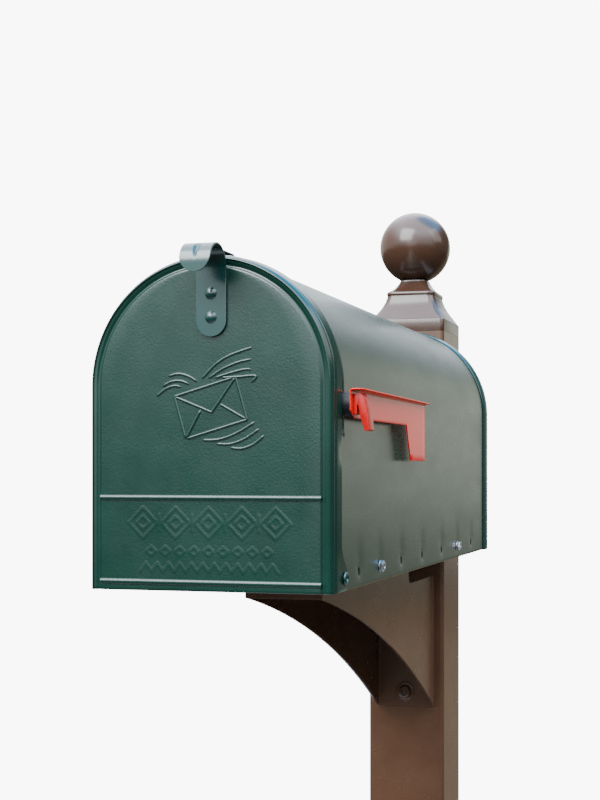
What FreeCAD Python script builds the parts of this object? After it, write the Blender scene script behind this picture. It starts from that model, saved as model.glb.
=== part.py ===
import FreeCAD, Part
import math
import os

import Sketcher
from FreeCAD import Placement, Rotation, Vector

# A steel rural post box on a bracket in front of a square post, in millimetres.
#
# Each sub-part is drawn in the box's own frame: X to the right, Y from the door's face
# towards the post, Z up from the skirt's bottom edge. Its Placement then lifts it to the
# part's frame, whose origin is the centre of the post's foot at ground level.

os.makedirs("parts", exist_ok=True)
doc = FreeCAD.newDocument("post_box")

SIZES = {
    # the box as a whole
    "box_height": 1067.0,        # ground to the skirt's bottom edge
    "box_length": 528.0,         # door's face to the rear panel's face
    "door_width": 176.0,
    "box_rise": 228.0,           # skirt's bottom edge to the crown of the door's rim
    "sheet": 0.9,                # steel sheet of the shell, door, floor and rear panel
    # door
    "rim_depth": 5.5,            # how far the rim's bead runs back from the face
    "rim_wall": 2.0,
    "neck_depth": 2.5,           # groove between the bead and the flange
    "neck_inset": 1.4,
    "door_depth": 17.3,          # face to the flange's rear edge
    "flange_proud": 0.9,         # how far the flange stands out past the rim
    "door_side_gap": 0.35,
    "door_crown_gap": 1.0,       # extra room at the crown, because the flange drops as it opens
    "shell_setback": 9.5,        # door's face to the shell's front edge
    "hinge_back": 24.5,
    "hinge_rise": 9.2,
    "hinge_shank": 2.4,          # radius
    "hinge_head": 4.4,           # radius
    "head_rise": 1.8,
    "running_gap": 0.05,         # radial, for what turns on a rivet
    "face_gap": 0.2,             # between flat faces that slide past each other
    "ear_radius": 8.6,
    "ear_rise": 31.0,            # where the ear's curve leaves the flange's edge
    # shell, rear panel and floor
    "skirt_corner": 9.0,
    "hem_depth": 17.0,
    "hem_proud": 2.7,
    "seam_gap": 0.1,
    "floor_front": 12.0,
    "floor_lip": 8.0,
    "floor_flange": 14.0,
    "floor_flange_front": 40.0,
    "slot_width": 3.8,
    "slot_height": 5.8,
    "slot_rise": 11.0,
    "slot_a": 63.0,
    "slot_b": 117.0,
    "slot_c": 180.0,
    "slot_d": 249.0,
    "slot_e": 322.0,
    "slot_f": 387.0,
    "slot_g": 452.0,
    # door handle and roof catch
    "strap_width": 21.6,
    "strap_offset": 2.5,         # handle's centre line, to the right of the box's
    "strap_sheet": 1.2,
    "strap_foot": 172.0,
    "curl_radius": 14.0,         # to the middle of the strap's outside faces
    "curl_rise": 218.0,
    "lobe_foot": 211.7,
    "strap_rivet_low": 185.0,
    "strap_rivet_high": 201.0,
    "rivet_shank": 2.0,
    "rivet_head": 4.25,
    "rivet_rise": 2.4,
    "catch_width": 15.0,
    "catch_sheet": 0.8,
    "catch_front": 1.5,
    "catch_ramp": 20.0,
    "catch_seat": 32.0,
    "catch_rear": 76.0,
    "catch_rise": 3.0,
    "catch_rivet_a": 45.0,
    "catch_rivet_b": 63.0,
    "catch_head": 3.2,
    "catch_head_rise": 1.3,
    # flag
    "flag_gap": 6.8,             # shell to the flag's back
    "flag_sheet": 1.0,
    "flag_front": 16.0,
    "flag_length": 210.0,
    "arm_half": 10.0,            # half the arm's width, which is centred on the pivot
    "arm_chamfer": 5.0,
    "head_drop": 37.3,           # pivot to the foot of the head
    "head_root": 60.0,           # width of the head where it meets the arm
    "head_tip": 47.0,
    "lip_front": 8.5,
    "lip_rear": 4.5,
    "pivot_back": 27.0,
    "pivot_drop": 12.0,          # below the line where the wall starts to curve
    "pivot_shank": 3.0,
    "pivot_head": 5.0,
    "pivot_head_rise": 1.6,
    "spacer_radius": 8.0,
    "washer_radius": 9.0,
    "washer_sheet": 1.0,
    "tab_width": 12.5,
    "tab_leg": 3.0,
    "tab_reach": 11.5,
    "tab_drop": 24.0,            # pivot to the foot of the finger tab
    "tab_slit": 0.9,
    # mounting board and its screws
    "board_thick": 19.0,
    "board_front": 46.0,
    "board_side_gap": 0.6,
    "board_rear_gap": 6.0,
    "seat_gap": 0.3,
    "screw_shank": 1.75,
    "screw_head": 4.2,
    "screw_head_rise": 3.4,
    "screw_flange": 4.6,
    "screw_flange_rise": 0.9,
    "screw_length": 20.0,
    # bracket
    "bracket_width": 64.0,
    "bracket_sheet": 2.0,
    "bracket_front": 149.0,
    "bracket_lip": 18.6,
    "bracket_waist_back": 350.0,
    "bracket_waist_drop": 79.0,
    "bracket_drop": 170.0,
    "bracket_bend": 4.5,
    "notch_back": 420.0,
    "notch_drop": 29.0,
    "notch_corner": 8.0,
    "lag_shank": 4.0,
    "lag_head": 5.5,
    "lag_head_rise": 5.0,
    "lag_length": 28.0,
    "lag_low": 153.4,
    "lag_high": 62.0,
    "lag_washer": 10.0,
    "lag_washer_sheet": 1.8,
    "spare_hole": 1.6,
    "spare_hole_out": 25.0,
    "wood_screw_out": 17.0,
    "wood_screw_front": 190.0,
    "wood_screw_rear": 395.0,
    "wood_screw_shank": 2.4,
    "wood_screw_head": 4.8,
    "wood_screw_head_rise": 2.6,
    "wood_screw_length": 15.0,
    # post, cap and finial
    "post_side": 82.0,
    "post_wall": 2.5,
    "post_corner": 4.0,
    "post_gap": 5.0,             # rear panel to the post's face
    "post_over": 2.5,            # post's top above the crown of the door's rim
    "cap_band": 13.5,
    "cap_spigot": 30.0,
    "cap_spigot_gap": 0.4,
    "cap_wall": 3.0,
    "collar_half": 24.5,
    "collar_rise": 45.5,
    "neck_half": 14.7,
    "neck_rise": 58.5,
    "ball_radius": 38.4,
    "ball_stem": 13.2,           # radius of the short stem under the ball
    "ball_rise": 95.1,           # ball's centre above the post's top
    "stud_radius": 4.0,
    "stud_depth": 26.0,          # how far the stud reaches into the ball
    "stud_nut": 8.0,
    "stud_nut_rise": 6.5,
    "stud_washer": 12.0,
    "stud_washer_sheet": 1.6,
    "plug_sheet": 4.0,
    "plug_depth": 25.0,
    "plug_gap": 0.3,
}
TAIL_SHARE = 0.8                 # radius of a rivet's tail against its head
HEX_CORNER = 2 / math.sqrt(3)    # a hexagon's corner radius against half its width over the flats

# The curve of the post cap above its band: half width and height above the post's top.
CAP_STEPS = {"a": (37.0, 19.1), "b": (31.5, 26.5), "c": (28.0, 34.5), "d": (26.0, 41.5)}
for step, (half, rise) in CAP_STEPS.items():
    SIZES["step_half_" + step] = half
    SIZES["step_rise_" + step] = rise

sheet = doc.addObject("Spreadsheet::Sheet", "Sizes")
for row, (alias, number) in enumerate(SIZES.items(), start=1):
    sheet.set("A%d" % row, alias)
    sheet.set("B%d" % row, str(number))
    sheet.setAlias("B%d" % row, alias)
doc.recompute()


class Size:
    """A length that carries its number and the sheet expression that gives it."""

    def __init__(self, number, text):
        self.number = number
        self.text = text

    @staticmethod
    def of(value):
        if isinstance(value, Size):
            return value
        return Size(float(value), "%.6g" % value)

    def __add__(self, other):
        other = Size.of(other)
        return Size(self.number + other.number, "(%s + %s)" % (self.text, other.text))

    def __sub__(self, other):
        other = Size.of(other)
        return Size(self.number - other.number, "(%s - %s)" % (self.text, other.text))

    def __mul__(self, other):
        other = Size.of(other)
        return Size(self.number * other.number, "(%s * %s)" % (self.text, other.text))

    def __truediv__(self, other):
        other = Size.of(other)
        return Size(self.number / other.number, "(%s / %s)" % (self.text, other.text))

    def __radd__(self, other):
        return Size.of(other) + self

    def __rsub__(self, other):
        return Size.of(other) - self

    def __rmul__(self, other):
        return Size.of(other) * self

    def __neg__(self):
        return Size(-self.number, "(-1 * %s)" % self.text)


def root(value):
    """Square root of a size."""
    return Size(math.sqrt(value.number), "sqrt(%s)" % value.text)


def size(alias):
    """A driving dimension by its alias."""
    return Size(float(sheet.get(alias)), "Sizes." + alias)


# --- sizes that more than one sub-part is built from -------------------------------------
half_door = size("door_width") / 2
door_spring = size("box_rise") - half_door
flange_outer = half_door + size("flange_proud")
flange_inner = flange_outer - size("sheet")
shell_outer = flange_inner - size("door_side_gap")
shell_inner = shell_outer - size("sheet")
shell_spring = door_spring - size("door_crown_gap")
shell_crown = shell_spring + shell_outer
rear_inside = size("box_length") - size("sheet")
floor_under = size("board_thick") + size("seat_gap")
post_face = size("box_length") + size("post_gap")
post_centre = post_face + size("post_side") / 2
post_top = size("box_rise") + size("post_over")
flag_back = shell_outer + size("flag_gap")
flag_face = flag_back + size("flag_sheet")
pivot_rise = shell_spring - size("pivot_drop")
arm_low, arm_high = pivot_rise - size("arm_half"), pivot_rise + size("arm_half")


# --- helpers -----------------------------------------------------------------------------
def bind(thing, **values):
    """Bind properties of an object to sheet expressions."""
    for name, value in values.items():
        thing.setExpression(name.replace("__", "."), Size.of(value).text)


def place(thing):
    """Lift a sub-part from the box's frame to the part's frame."""
    bind(thing, Placement__Base__y=-post_centre, Placement__Base__z=size("box_height"))
    return thing


def new_body(label):
    made = doc.addObject("PartDesign::Body", label)
    made.Label = label
    return place(made)


def datum_plane(body, role):
    return next(plane for plane in body.Origin.OriginFeatures if plane.Role == role)


def new_sketch(body, name, role, along):
    """A sketch on one of the body's own planes, moved along that plane's axis."""
    made = body.newObject("Sketcher::SketchObject", name)
    made.AttachmentSupport = [(datum_plane(body, role), "")]
    made.MapMode = "FlatFace"
    away = -Size.of(along) if role == "XZ_Plane" else Size.of(along)
    made.setExpression("AttachmentOffset.Base.z", away.text)
    return made


def fix_point(sketch, shape, end, across, up):
    """Hold one point of the sketch at a place given by two sizes."""
    for kind, axis, value in (("DistanceX", -2, across), ("DistanceY", -1, up)):
        value = Size.of(value)
        if abs(value.number) < 1e-9:
            sketch.addConstraint(Sketcher.Constraint("PointOnObject", shape, end, axis))
            continue
        index = sketch.addConstraint(Sketcher.Constraint(kind, -1, 1, shape, end, value.number))
        sketch.setExpression("Constraints[%d]" % index, value.text)


def add_loop(sketch, steps):
    """Draw one closed outline.

    Each step is (across, up) for a straight run to that point, or
    (across, up, centre across, centre up, turn) for an arc to it, where turn is 1 for
    anticlockwise and -1 for clockwise.
    """
    ends = []
    for place_in_loop, step in enumerate(steps):
        last = steps[place_in_loop - 1]
        start = Vector(Size.of(last[0]).number, Size.of(last[1]).number, 0)
        stop = Vector(Size.of(step[0]).number, Size.of(step[1]).number, 0)
        if len(step) == 2:
            shape = sketch.addGeometry(Part.LineSegment(start, stop), False)
            ends.append((shape, 1, 2))
            continue
        centre = Vector(Size.of(step[2]).number, Size.of(step[3]).number, 0)
        first, second = (start, stop) if step[4] > 0 else (stop, start)
        low = math.atan2(first.y - centre.y, first.x - centre.x)
        high = math.atan2(second.y - centre.y, second.x - centre.x)
        if high <= low:
            high += 2 * math.pi
        circle = Part.Circle(centre, Vector(0, 0, 1), (start - centre).Length)
        shape = sketch.addGeometry(Part.ArcOfCircle(circle, low, high), False)
        ends.append((shape, 1, 2) if step[4] > 0 else (shape, 2, 1))
    for index, (shape, begin, end) in enumerate(ends):
        following = ends[(index + 1) % len(ends)]
        sketch.addConstraint(Sketcher.Constraint("Coincident", shape, end, following[0], following[1]))
    for step, (shape, begin, end) in zip(steps, ends):
        fix_point(sketch, shape, end, step[0], step[1])
    for index, (step, (shape, begin, end)) in enumerate(zip(steps, ends)):
        if len(step) == 2:
            continue
        last = steps[index - 1]
        run = abs(Size.of(step[0]).number - Size.of(last[0]).number)
        climb = abs(Size.of(step[1]).number - Size.of(last[1]).number)
        kind, axis, value = ("DistanceY", -1, step[3]) if run >= climb else ("DistanceX", -2, step[2])
        value = Size.of(value)
        if abs(value.number) < 1e-9:
            sketch.addConstraint(Sketcher.Constraint("PointOnObject", shape, 3, axis))
            continue
        index = sketch.addConstraint(Sketcher.Constraint(kind, -1, 1, shape, 3, value.number))
        sketch.setExpression("Constraints[%d]" % index, value.text)


def add_circle(sketch, across, up, radius):
    centre = Vector(Size.of(across).number, Size.of(up).number, 0)
    shape = sketch.addGeometry(Part.Circle(centre, Vector(0, 0, 1), radius.number), False)
    fix_point(sketch, shape, 3, across, up)
    index = sketch.addConstraint(Sketcher.Constraint("Radius", shape, radius.number))
    sketch.setExpression("Constraints[%d]" % index, radius.text)


def draw(body, name, role, along, loops):
    """A sketch with its outlines, where a loop of three sizes is a circle."""
    sketch = new_sketch(body, name, role, along)
    for loop in loops:
        if len(loop) == 3 and not isinstance(loop[0], tuple):
            add_circle(sketch, *loop)
        else:
            add_loop(sketch, loop)
    return sketch


def extrude(body, name, role, start, end, loops, cut=False):
    """Add or cut a prism between two places on the axis across the sketch's plane."""
    sketch = draw(body, name + "_sketch", role, start, loops)
    before = body.Shape.Volume if cut else 0
    feature = body.newObject("PartDesign::Pocket" if cut else "PartDesign::Pad", name)
    feature.Profile = sketch
    feature.Type = "Length"
    feature.Reversed = (role == "XZ_Plane") != cut
    bind(feature, Length=Size.of(end) - Size.of(start))
    doc.recompute()
    if cut and not feature.Shape.Volume < before - 1e-3:
        raise RuntimeError("%s cuts nothing from %s" % (name, body.Label))
    return feature


def edges_where(feature, test):
    """Names of the feature's edges whose ends both pass the test."""
    return [
        "Edge%d" % number
        for number, edge in enumerate(feature.Shape.Edges, start=1)
        if all(test(vertex.Point) for vertex in edge.Vertexes) and len(edge.Vertexes) == 2
    ]


def round_edges(body, name, radius, test):
    """Fillet the edges of the body's tip whose ends both pass the test."""
    base = body.Tip
    names = edges_where(base, test)
    if not names:
        raise RuntimeError("%s finds no edges on %s" % (name, body.Label))
    fillet = body.newObject("PartDesign::Fillet", name)
    fillet.Base = (base, names)
    bind(fillet, Radius=radius)
    doc.recompute()
    return fillet


def near(value, target):
    return abs(value - Size.of(target).number) < 1e-3


def arch(half, spring, foot=0):
    """Outline with straight sides and a half-round top."""
    return [(half, foot), (half, spring), (-half, spring, 0, spring, 1), (-half, foot)]


def arch_band(outer, inner, spring, foot=0):
    """The same outline as a band, open at the bottom."""
    return [
        (outer, foot), (outer, spring), (-outer, spring, 0, spring, 1), (-outer, foot),
        (-inner, foot), (-inner, spring), (inner, spring, 0, spring, -1), (inner, foot),
    ]


def box_outline(low_across, low_up, high_across, high_up):
    return [
        (high_across, low_up), (high_across, high_up), (low_across, high_up), (low_across, low_up),
    ]


def rounded_square(half, corner, centre_up=0):
    """A square with rounded corners, centred on the sketch's vertical axis."""
    flat = half - corner
    low = centre_up - half
    high = centre_up + half
    return [
        (flat, low), (half, centre_up - flat, flat, centre_up - flat, 1),
        (half, centre_up + flat), (flat, high, flat, centre_up + flat, 1),
        (-flat, high), (-half, centre_up + flat, -flat, centre_up + flat, 1),
        (-half, centre_up - flat), (-flat, low, -flat, centre_up - flat, 1),
    ]


def rear_rounded(half, front, rear, corner):
    """A rectangle in plan whose two rear corners are rounded."""
    return [
        (half, front), (half, rear - corner), (half - corner, rear, half - corner, rear - corner, 1),
        (corner - half, rear), (-half, rear - corner, corner - half, rear - corner, 1), (-half, front),
    ]


TURNS = {
    "right": Rotation(Vector(0, 1, 0), 90),
    "left": Rotation(Vector(0, 1, 0), -90),
    "front": Rotation(Vector(1, 0, 0), 90),
    "rear": Rotation(Vector(1, 0, 0), -90),
    "up": Rotation(),
    "down": Rotation(Vector(1, 0, 0), 180),
}
STEPS = {
    "right": (1, 0, 0), "left": (-1, 0, 0), "front": (0, -1, 0), "rear": (0, 1, 0),
    "up": (0, 0, 1), "down": (0, 0, -1),
}


def stand(piece, facing, seat, offset):
    """Turn a primitive to face one way, with its base at an offset from its seat."""
    piece.Placement = Placement(Vector(), TURNS[facing])
    moved = [Size.of(part) + Size.of(offset) * way for part, way in zip(seat, STEPS[facing])]
    bind(piece, Placement__Base__x=moved[0], Placement__Base__y=moved[1], Placement__Base__z=moved[2])
    return piece


def disc(name, facing, seat, low, high, radius):
    """A cylinder from low to high above its seat."""
    made = doc.addObject("Part::Cylinder", name)
    bind(made, Radius=radius, Height=Size.of(high) - Size.of(low))
    return stand(made, facing, seat, low)


def dome(name, facing, seat, low, radius, rise):
    """A cap of a ball, with its flat side at low above its seat."""
    radius, rise = Size.of(radius), Size.of(rise)
    ball = (radius * radius + rise * rise) / (2 * rise)
    below = ball - rise
    made = doc.addObject("Part::Sphere", name)
    bind(made, Radius=ball)
    made.setExpression("Angle1", "asin(%s / %s)" % (below.text, ball.text))
    made.Angle2 = 90
    return stand(made, facing, seat, Size.of(low) - below)


def hexagon(name, facing, seat, low, high, corner):
    made = doc.addObject("Part::Prism", name)
    made.Polygon = 6
    bind(made, Circumradius=corner, Height=Size.of(high) - Size.of(low))
    return stand(made, facing, seat, low)


def fuse(name, pieces):
    made = doc.addObject("Part::MultiFuse", name)
    made.Shapes = pieces
    return made


def subtract(name, base, tool):
    made = doc.addObject("Part::Cut", name)
    made.Base = base
    made.Tool = tool
    return made


def group(label, pieces):
    """Identical pieces as separate solids of one sub-part."""
    made = doc.addObject("Part::Compound", label)
    made.Label = label
    made.Links = pieces
    return place(made)


# --- shell -------------------------------------------------------------------------------
def skirt_slots(body, name):
    """The row of slots through both skirts."""
    loops = []
    for letter in "abcdefg":
        half = size("slot_width") / 2
        back = size("slot_" + letter)
        straight = size("slot_height") / 2 - half
        low, high = size("slot_rise") - straight, size("slot_rise") + straight
        loops.append([
            (back + half, high), (back - half, high, back, high, 1),
            (back - half, low), (back + half, low, back, low, 1),
        ])
    extrude(body, name, "YZ_Plane", -size("door_width"), size("door_width"), loops, cut=True)


def make_shell():
    body = new_body("shell")
    front = size("shell_setback")
    extrude(body, "wrap", "XZ_Plane", front, rear_inside - size("seam_gap"),
            [arch_band(shell_outer, shell_inner, shell_spring)])
    round_edges(body, "skirt_corners", size("skirt_corner"),
                lambda point: near(point.y, front) and near(point.z, 0))
    wide = size("door_width")
    hole = [(size("hinge_back"), size("hinge_rise"), size("hinge_shank") + size("running_gap"))]
    extrude(body, "hinge_holes", "YZ_Plane", -wide, wide, hole, cut=True)
    skirt_slots(body, "slots")
    pivot = [(size("pivot_back"), pivot_rise, size("pivot_shank") + size("running_gap"))]
    extrude(body, "pivot_hole", "YZ_Plane", 0, wide, pivot, cut=True)
    rivets = [(size("strap_offset"), size("catch_rivet_" + letter), size("rivet_shank")) for letter in "ab"]
    extrude(body, "catch_holes", "XY_Plane", shell_spring, size("box_rise"), rivets, cut=True)


def make_rear_panel():
    body = new_body("rear_panel")
    hem_inner = shell_outer + size("seam_gap")
    hem_outer = hem_inner + size("hem_proud")
    extrude(body, "plate", "XZ_Plane", rear_inside, size("box_length"), [arch(hem_outer, shell_spring)])
    extrude(body, "hem", "XZ_Plane", size("box_length") - size("hem_depth"), size("box_length"),
            [arch_band(hem_outer, hem_inner, shell_spring)])
    outside = size("box_length").number
    round_edges(body, "hem_edge", size("sheet"),
                lambda point: near(point.y, outside) and not near(point.z, 0))


def make_floor_pan():
    body = new_body("floor_pan")
    outer = shell_inner - size("seam_gap")
    top = floor_under + size("sheet")
    rear = rear_inside - size("seam_gap")
    front = size("floor_front")
    extrude(body, "tray", "XY_Plane", floor_under, top, [box_outline(-outer, front, outer, rear)])
    extrude(body, "front_lip", "XY_Plane", top - size("floor_lip"), floor_under,
            [box_outline(-outer, front, outer, front + size("sheet"))])
    for side, sign in (("right", 1), ("left", -1)):
        low, high = sorted((sign * outer, sign * (outer - size("sheet"))), key=lambda edge: edge.number)
        extrude(body, side + "_flange", "XY_Plane", top - size("floor_flange"), floor_under,
                [box_outline(low, size("floor_flange_front"), high, rear)])
    skirt_slots(body, "slots")


# --- door --------------------------------------------------------------------------------
def make_door():
    body = new_body("door")
    rim, wall, thin = size("rim_depth"), size("rim_wall"), size("sheet")
    neck_outer = half_door - size("neck_inset")
    neck_inner = neck_outer - thin
    neck_end = rim + size("neck_depth")
    extrude(body, "face", "XZ_Plane", 0, thin, [arch(half_door, door_spring)])
    extrude(body, "rim", "XZ_Plane", 0, rim,
            [arch(half_door, door_spring), arch(half_door - wall, door_spring, foot=wall)])
    extrude(body, "neck", "XZ_Plane", rim - thin, neck_end, [arch_band(neck_outer, neck_inner, door_spring)])
    extrude(body, "web", "XZ_Plane", neck_end - thin, neck_end,
            [arch_band(flange_outer, neck_inner, door_spring)])
    extrude(body, "flange", "XZ_Plane", neck_end - thin, size("door_depth"),
            [arch_band(flange_outer, flange_inner, door_spring)])
    back, rise, reach = size("hinge_back"), size("hinge_rise"), size("ear_radius")
    edge = size("door_depth")
    for side, low, high in (("right", flange_inner, flange_outer), ("left", -flange_outer, -flange_inner)):
        ear = [(back, rise - reach), (back + reach, rise, back, rise, 1),
               (edge, size("ear_rise")), (neck_end - thin, size("ear_rise")), (neck_end - thin, rise - reach)]
        extrude(body, side + "_ear", "YZ_Plane", low, high, [ear])
    wide = size("door_width")
    pin = size("hinge_shank") + size("running_gap")
    extrude(body, "hinge_holes", "YZ_Plane", -wide, wide, [(back, rise, pin)], cut=True)
    rivets = [(size("strap_offset"), size("strap_rivet_" + name), size("rivet_shank"))
              for name in ("low", "high")]
    extrude(body, "rivet_holes", "XZ_Plane", 0, thin, rivets, cut=True)


def make_door_handle():
    body = new_body("door_handle")
    thick, radius, rise = size("strap_sheet"), size("curl_radius"), size("curl_rise")
    centre = -radius - thick / 2
    inner, outer = radius - thick / 2, radius + thick / 2
    profile = [
        (0, size("strap_foot")), (0, rise), (centre - outer, rise, centre, rise, 1),
        (centre - outer, size("lobe_foot")), (centre - inner, size("lobe_foot")),
        (centre - inner, rise), (centre + inner, rise, centre, rise, -1), (-thick, size("strap_foot")),
    ]
    half = size("strap_width") / 2
    middle = size("strap_offset")
    extrude(body, "strip", "YZ_Plane", middle - half, middle + half, [profile])
    low_end, lobe_end = size("strap_foot"), size("lobe_foot")
    far = centre - outer
    ends = (("foot", -thick, 0, low_end), ("lobe", far, centre - inner, lobe_end))
    for name, front, rear, end in ends:
        corner = [
            (middle + half, end - thick), (middle + half, end + half),
            (middle - half, end + half, middle, end + half, -1), (middle - half, end - thick),
        ]
        extrude(body, name + "_round", "XZ_Plane", front, rear, [corner], cut=True)
    rivets = [(middle, size("strap_rivet_" + name), size("rivet_shank")) for name in ("low", "high")]
    extrude(body, "rivet_holes", "XZ_Plane", -thick, 0, rivets, cut=True)


def make_rivet(name, facing, seat, grip, shank, head, rise, lift=0):
    """A rivet through a grip below its seat, with a dome above it and a flat tail under it."""
    grip = Size.of(grip)
    return fuse(name, [
        disc(name + "_shank", facing, seat, -grip - rise / 2, Size.of(lift) + rise / 4, shank),
        dome(name + "_head", facing, seat, lift, head, rise),
        disc(name + "_tail", facing, seat, -grip - rise / 2, -grip, head * TAIL_SHARE),
    ])


def make_door_rivets():
    hinge = []
    for facing, sign in (("right", 1), ("left", -1)):
        seat = (sign * flange_outer, size("hinge_back"), size("hinge_rise"))
        grip = flange_outer - shell_inner
        hinge.append(make_rivet("hinge_" + facing, facing, seat, grip, size("hinge_shank"),
                                size("hinge_head"), size("head_rise"), size("face_gap")))
    group("door_hinge_rivets", hinge)
    handle = []
    for name in ("low", "high"):
        seat = (size("strap_offset"), -size("strap_sheet"), size("strap_rivet_" + name))
        grip = size("strap_sheet") + size("sheet")
        handle.append(make_rivet("handle_" + name, "front", seat, grip, size("rivet_shank"),
                                 size("rivet_head"), size("rivet_rise")))
    group("door_handle_rivets", handle)


def make_roof_catch():
    body = new_body("roof_catch")
    seat = shell_crown + size("seam_gap")
    thick = size("catch_sheet")
    nose = seat + size("catch_rise")
    front, ramp = size("catch_front"), size("catch_ramp")
    profile = [
        (front, nose), (ramp, nose), (size("catch_seat"), seat), (size("catch_rear"), seat),
        (size("catch_rear"), seat + thick), (size("catch_seat"), seat + thick),
        (ramp, nose + thick), (front, nose + thick),
    ]
    half, middle = size("catch_width") / 2, size("strap_offset")
    extrude(body, "strip", "YZ_Plane", middle - half, middle + half, [profile])
    rivets = [(middle, size("catch_rivet_" + letter), size("rivet_shank")) for letter in "ab"]
    extrude(body, "rivet_holes", "XY_Plane", seat, seat + thick, rivets, cut=True)
    roof_fall = size("sheet") / 3    # how far the curved roof falls away beside a rivet's tail
    pieces = []
    for letter in "ab":
        top = (middle, size("catch_rivet_" + letter), seat + thick)
        grip = seat + thick - (shell_crown - size("sheet")) + roof_fall
        pieces.append(make_rivet("catch_" + letter, "up", top, grip, size("rivet_shank"),
                                 size("catch_head"), size("catch_head_rise")))
    group("roof_catch_rivets", pieces)


# --- flag --------------------------------------------------------------------------------
def make_flag():
    body = new_body("flag")
    front, low, high = size("flag_front"), arm_low, arm_high
    rear = front + size("flag_length")
    foot = pivot_rise - size("head_drop")
    plate = [
        (front, high), (front, low + size("arm_chamfer")), (front + 2 * size("arm_chamfer"), low),
        (rear - size("head_root"), low), (rear - size("head_tip"), foot), (rear, foot), (rear, high),
    ]
    extrude(body, "plate", "YZ_Plane", flag_back, flag_face, [plate])
    lip = [
        (flag_back, front), (flag_back, rear), (flag_face + size("lip_rear"), rear),
        (flag_face + size("lip_front"), front + size("arm_chamfer")),
        (flag_face + size("arm_chamfer"), front),
    ]
    extrude(body, "lip", "XY_Plane", high - size("flag_sheet"), high, [lip])
    pin = size("pivot_shank") + size("running_gap")
    extrude(body, "pivot_hole", "YZ_Plane", flag_back, flag_face,
            [(size("pivot_back"), pivot_rise, pin)], cut=True)


def make_finger_tab():
    body = new_body("flag_finger_tab")
    near_face = flag_face
    leg, top = size("tab_leg"), arm_high - size("flag_sheet") - size("seam_gap")
    foot = pivot_rise - size("tab_drop")
    reach = near_face + size("tab_reach")
    shoulder = top - leg
    inner_foot = arm_low + size("arm_chamfer") / 2
    slit = size("tab_slit")
    profile = [
        (near_face, shoulder), (near_face, inner_foot),
        (near_face + leg, inner_foot), (near_face + leg, inner_foot + 2 * leg),
        (near_face + leg + slit, inner_foot + 2 * leg), (reach - leg, foot), (reach, foot),
        (near_face + 2 * leg + slit, shoulder), (near_face + leg, top),
    ]
    half = size("tab_width") / 2
    back = size("pivot_back")
    extrude(body, "clip", "XZ_Plane", back - half, back + half, [profile])
    well = size("pivot_head") + size("face_gap")
    extrude(body, "pivot_well", "YZ_Plane", near_face, near_face + 2 * leg + slit,
            [(back, pivot_rise, well)], cut=True)


def make_flag_pivot():
    back, rise = size("pivot_back"), pivot_rise
    seat = (flag_face, back, rise)
    inside = flag_face - shell_inner + size("washer_sheet") + size("seam_gap")
    rivet = make_rivet("pivot", "right", seat, inside, size("pivot_shank"), size("pivot_head"),
                       size("pivot_head_rise"), size("face_gap"))
    group("flag_pivot_rivet", [rivet])
    around = size("pivot_shank") + size("running_gap")
    wall = (shell_outer, back, rise)
    spacer = subtract("spacer", disc("spacer_disc", "right", wall, 0, size("flag_gap") - size("face_gap"),
                                     size("spacer_radius")),
                      disc("spacer_bore", "right", wall, 0, size("flag_gap"), around))
    group("flag_spacer", [spacer])
    skin = (shell_inner, back, rise)
    thick = size("washer_sheet")
    washer = subtract("washer", disc("washer_disc", "right", skin, -thick - size("seam_gap"),
                                     -size("seam_gap"), size("washer_radius")),
                      disc("washer_bore", "right", skin, -2 * thick, thick, around))
    group("flag_friction_washer", [washer])


# --- mounting board and its screws -------------------------------------------------------
def make_board():
    body = new_body("mounting_board")
    half = shell_inner - size("seam_gap") - size("sheet") - size("board_side_gap")
    rear = rear_inside - size("board_rear_gap")
    extrude(body, "plank", "XY_Plane", 0, size("board_thick"),
            [box_outline(-half, size("board_front"), half, rear)])
    wide = size("door_width")
    shank = size("screw_shank") + size("running_gap")
    inner = half - size("screw_length")
    holes = [(size("slot_" + letter), size("slot_rise"), shank) for letter in "bf"]
    extrude(body, "right_pilots", "YZ_Plane", inner, wide, holes, cut=True)
    extrude(body, "left_pilots", "YZ_Plane", -wide, -inner, holes, cut=True)
    shank = size("wood_screw_shank") + size("running_gap")
    holes = [(sign * size("wood_screw_out"), size("wood_screw_" + row), shank)
             for sign in (1, -1) for row in ("front", "rear")]
    extrude(body, "bracket_pilots", "XY_Plane", 0, size("wood_screw_length"), holes, cut=True)
    screws = []
    for facing, sign in (("right", 1), ("left", -1)):
        for letter in "bf":
            name = "side_screw_%s_%s" % (facing, letter)
            seat = (sign * shell_outer, size("slot_" + letter), size("slot_rise"))
            low = size("screw_flange_rise")
            screws.append(fuse(name, [
                disc(name + "_shank", facing, seat, -size("screw_length"), low / 2, size("screw_shank")),
                disc(name + "_flange", facing, seat, 0, low, size("screw_flange")),
                hexagon(name + "_head", facing, seat, low, size("screw_head_rise"), size("screw_head")),
            ]))
    group("board_side_screws", screws)


# --- bracket -----------------------------------------------------------------------------
def arc_centre(first, second, third):
    """Centre of the circle through three points, as sizes."""
    points = (first, second, third)
    (ax, ay), (bx, by), (cx, cy) = [(Size.of(point[0]), Size.of(point[1])) for point in points]
    spread = 2 * (ax * (by - cy) + bx * (cy - ay) + cx * (ay - by))
    reach_a, reach_b, reach_c = ax * ax + ay * ay, bx * bx + by * by, cx * cx + cy * cy
    across = (reach_a * (by - cy) + reach_b * (cy - ay) + reach_c * (ay - by)) / spread
    up = (reach_a * (cx - bx) + reach_b * (ax - cx) + reach_c * (bx - ax)) / spread
    return across, up


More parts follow.
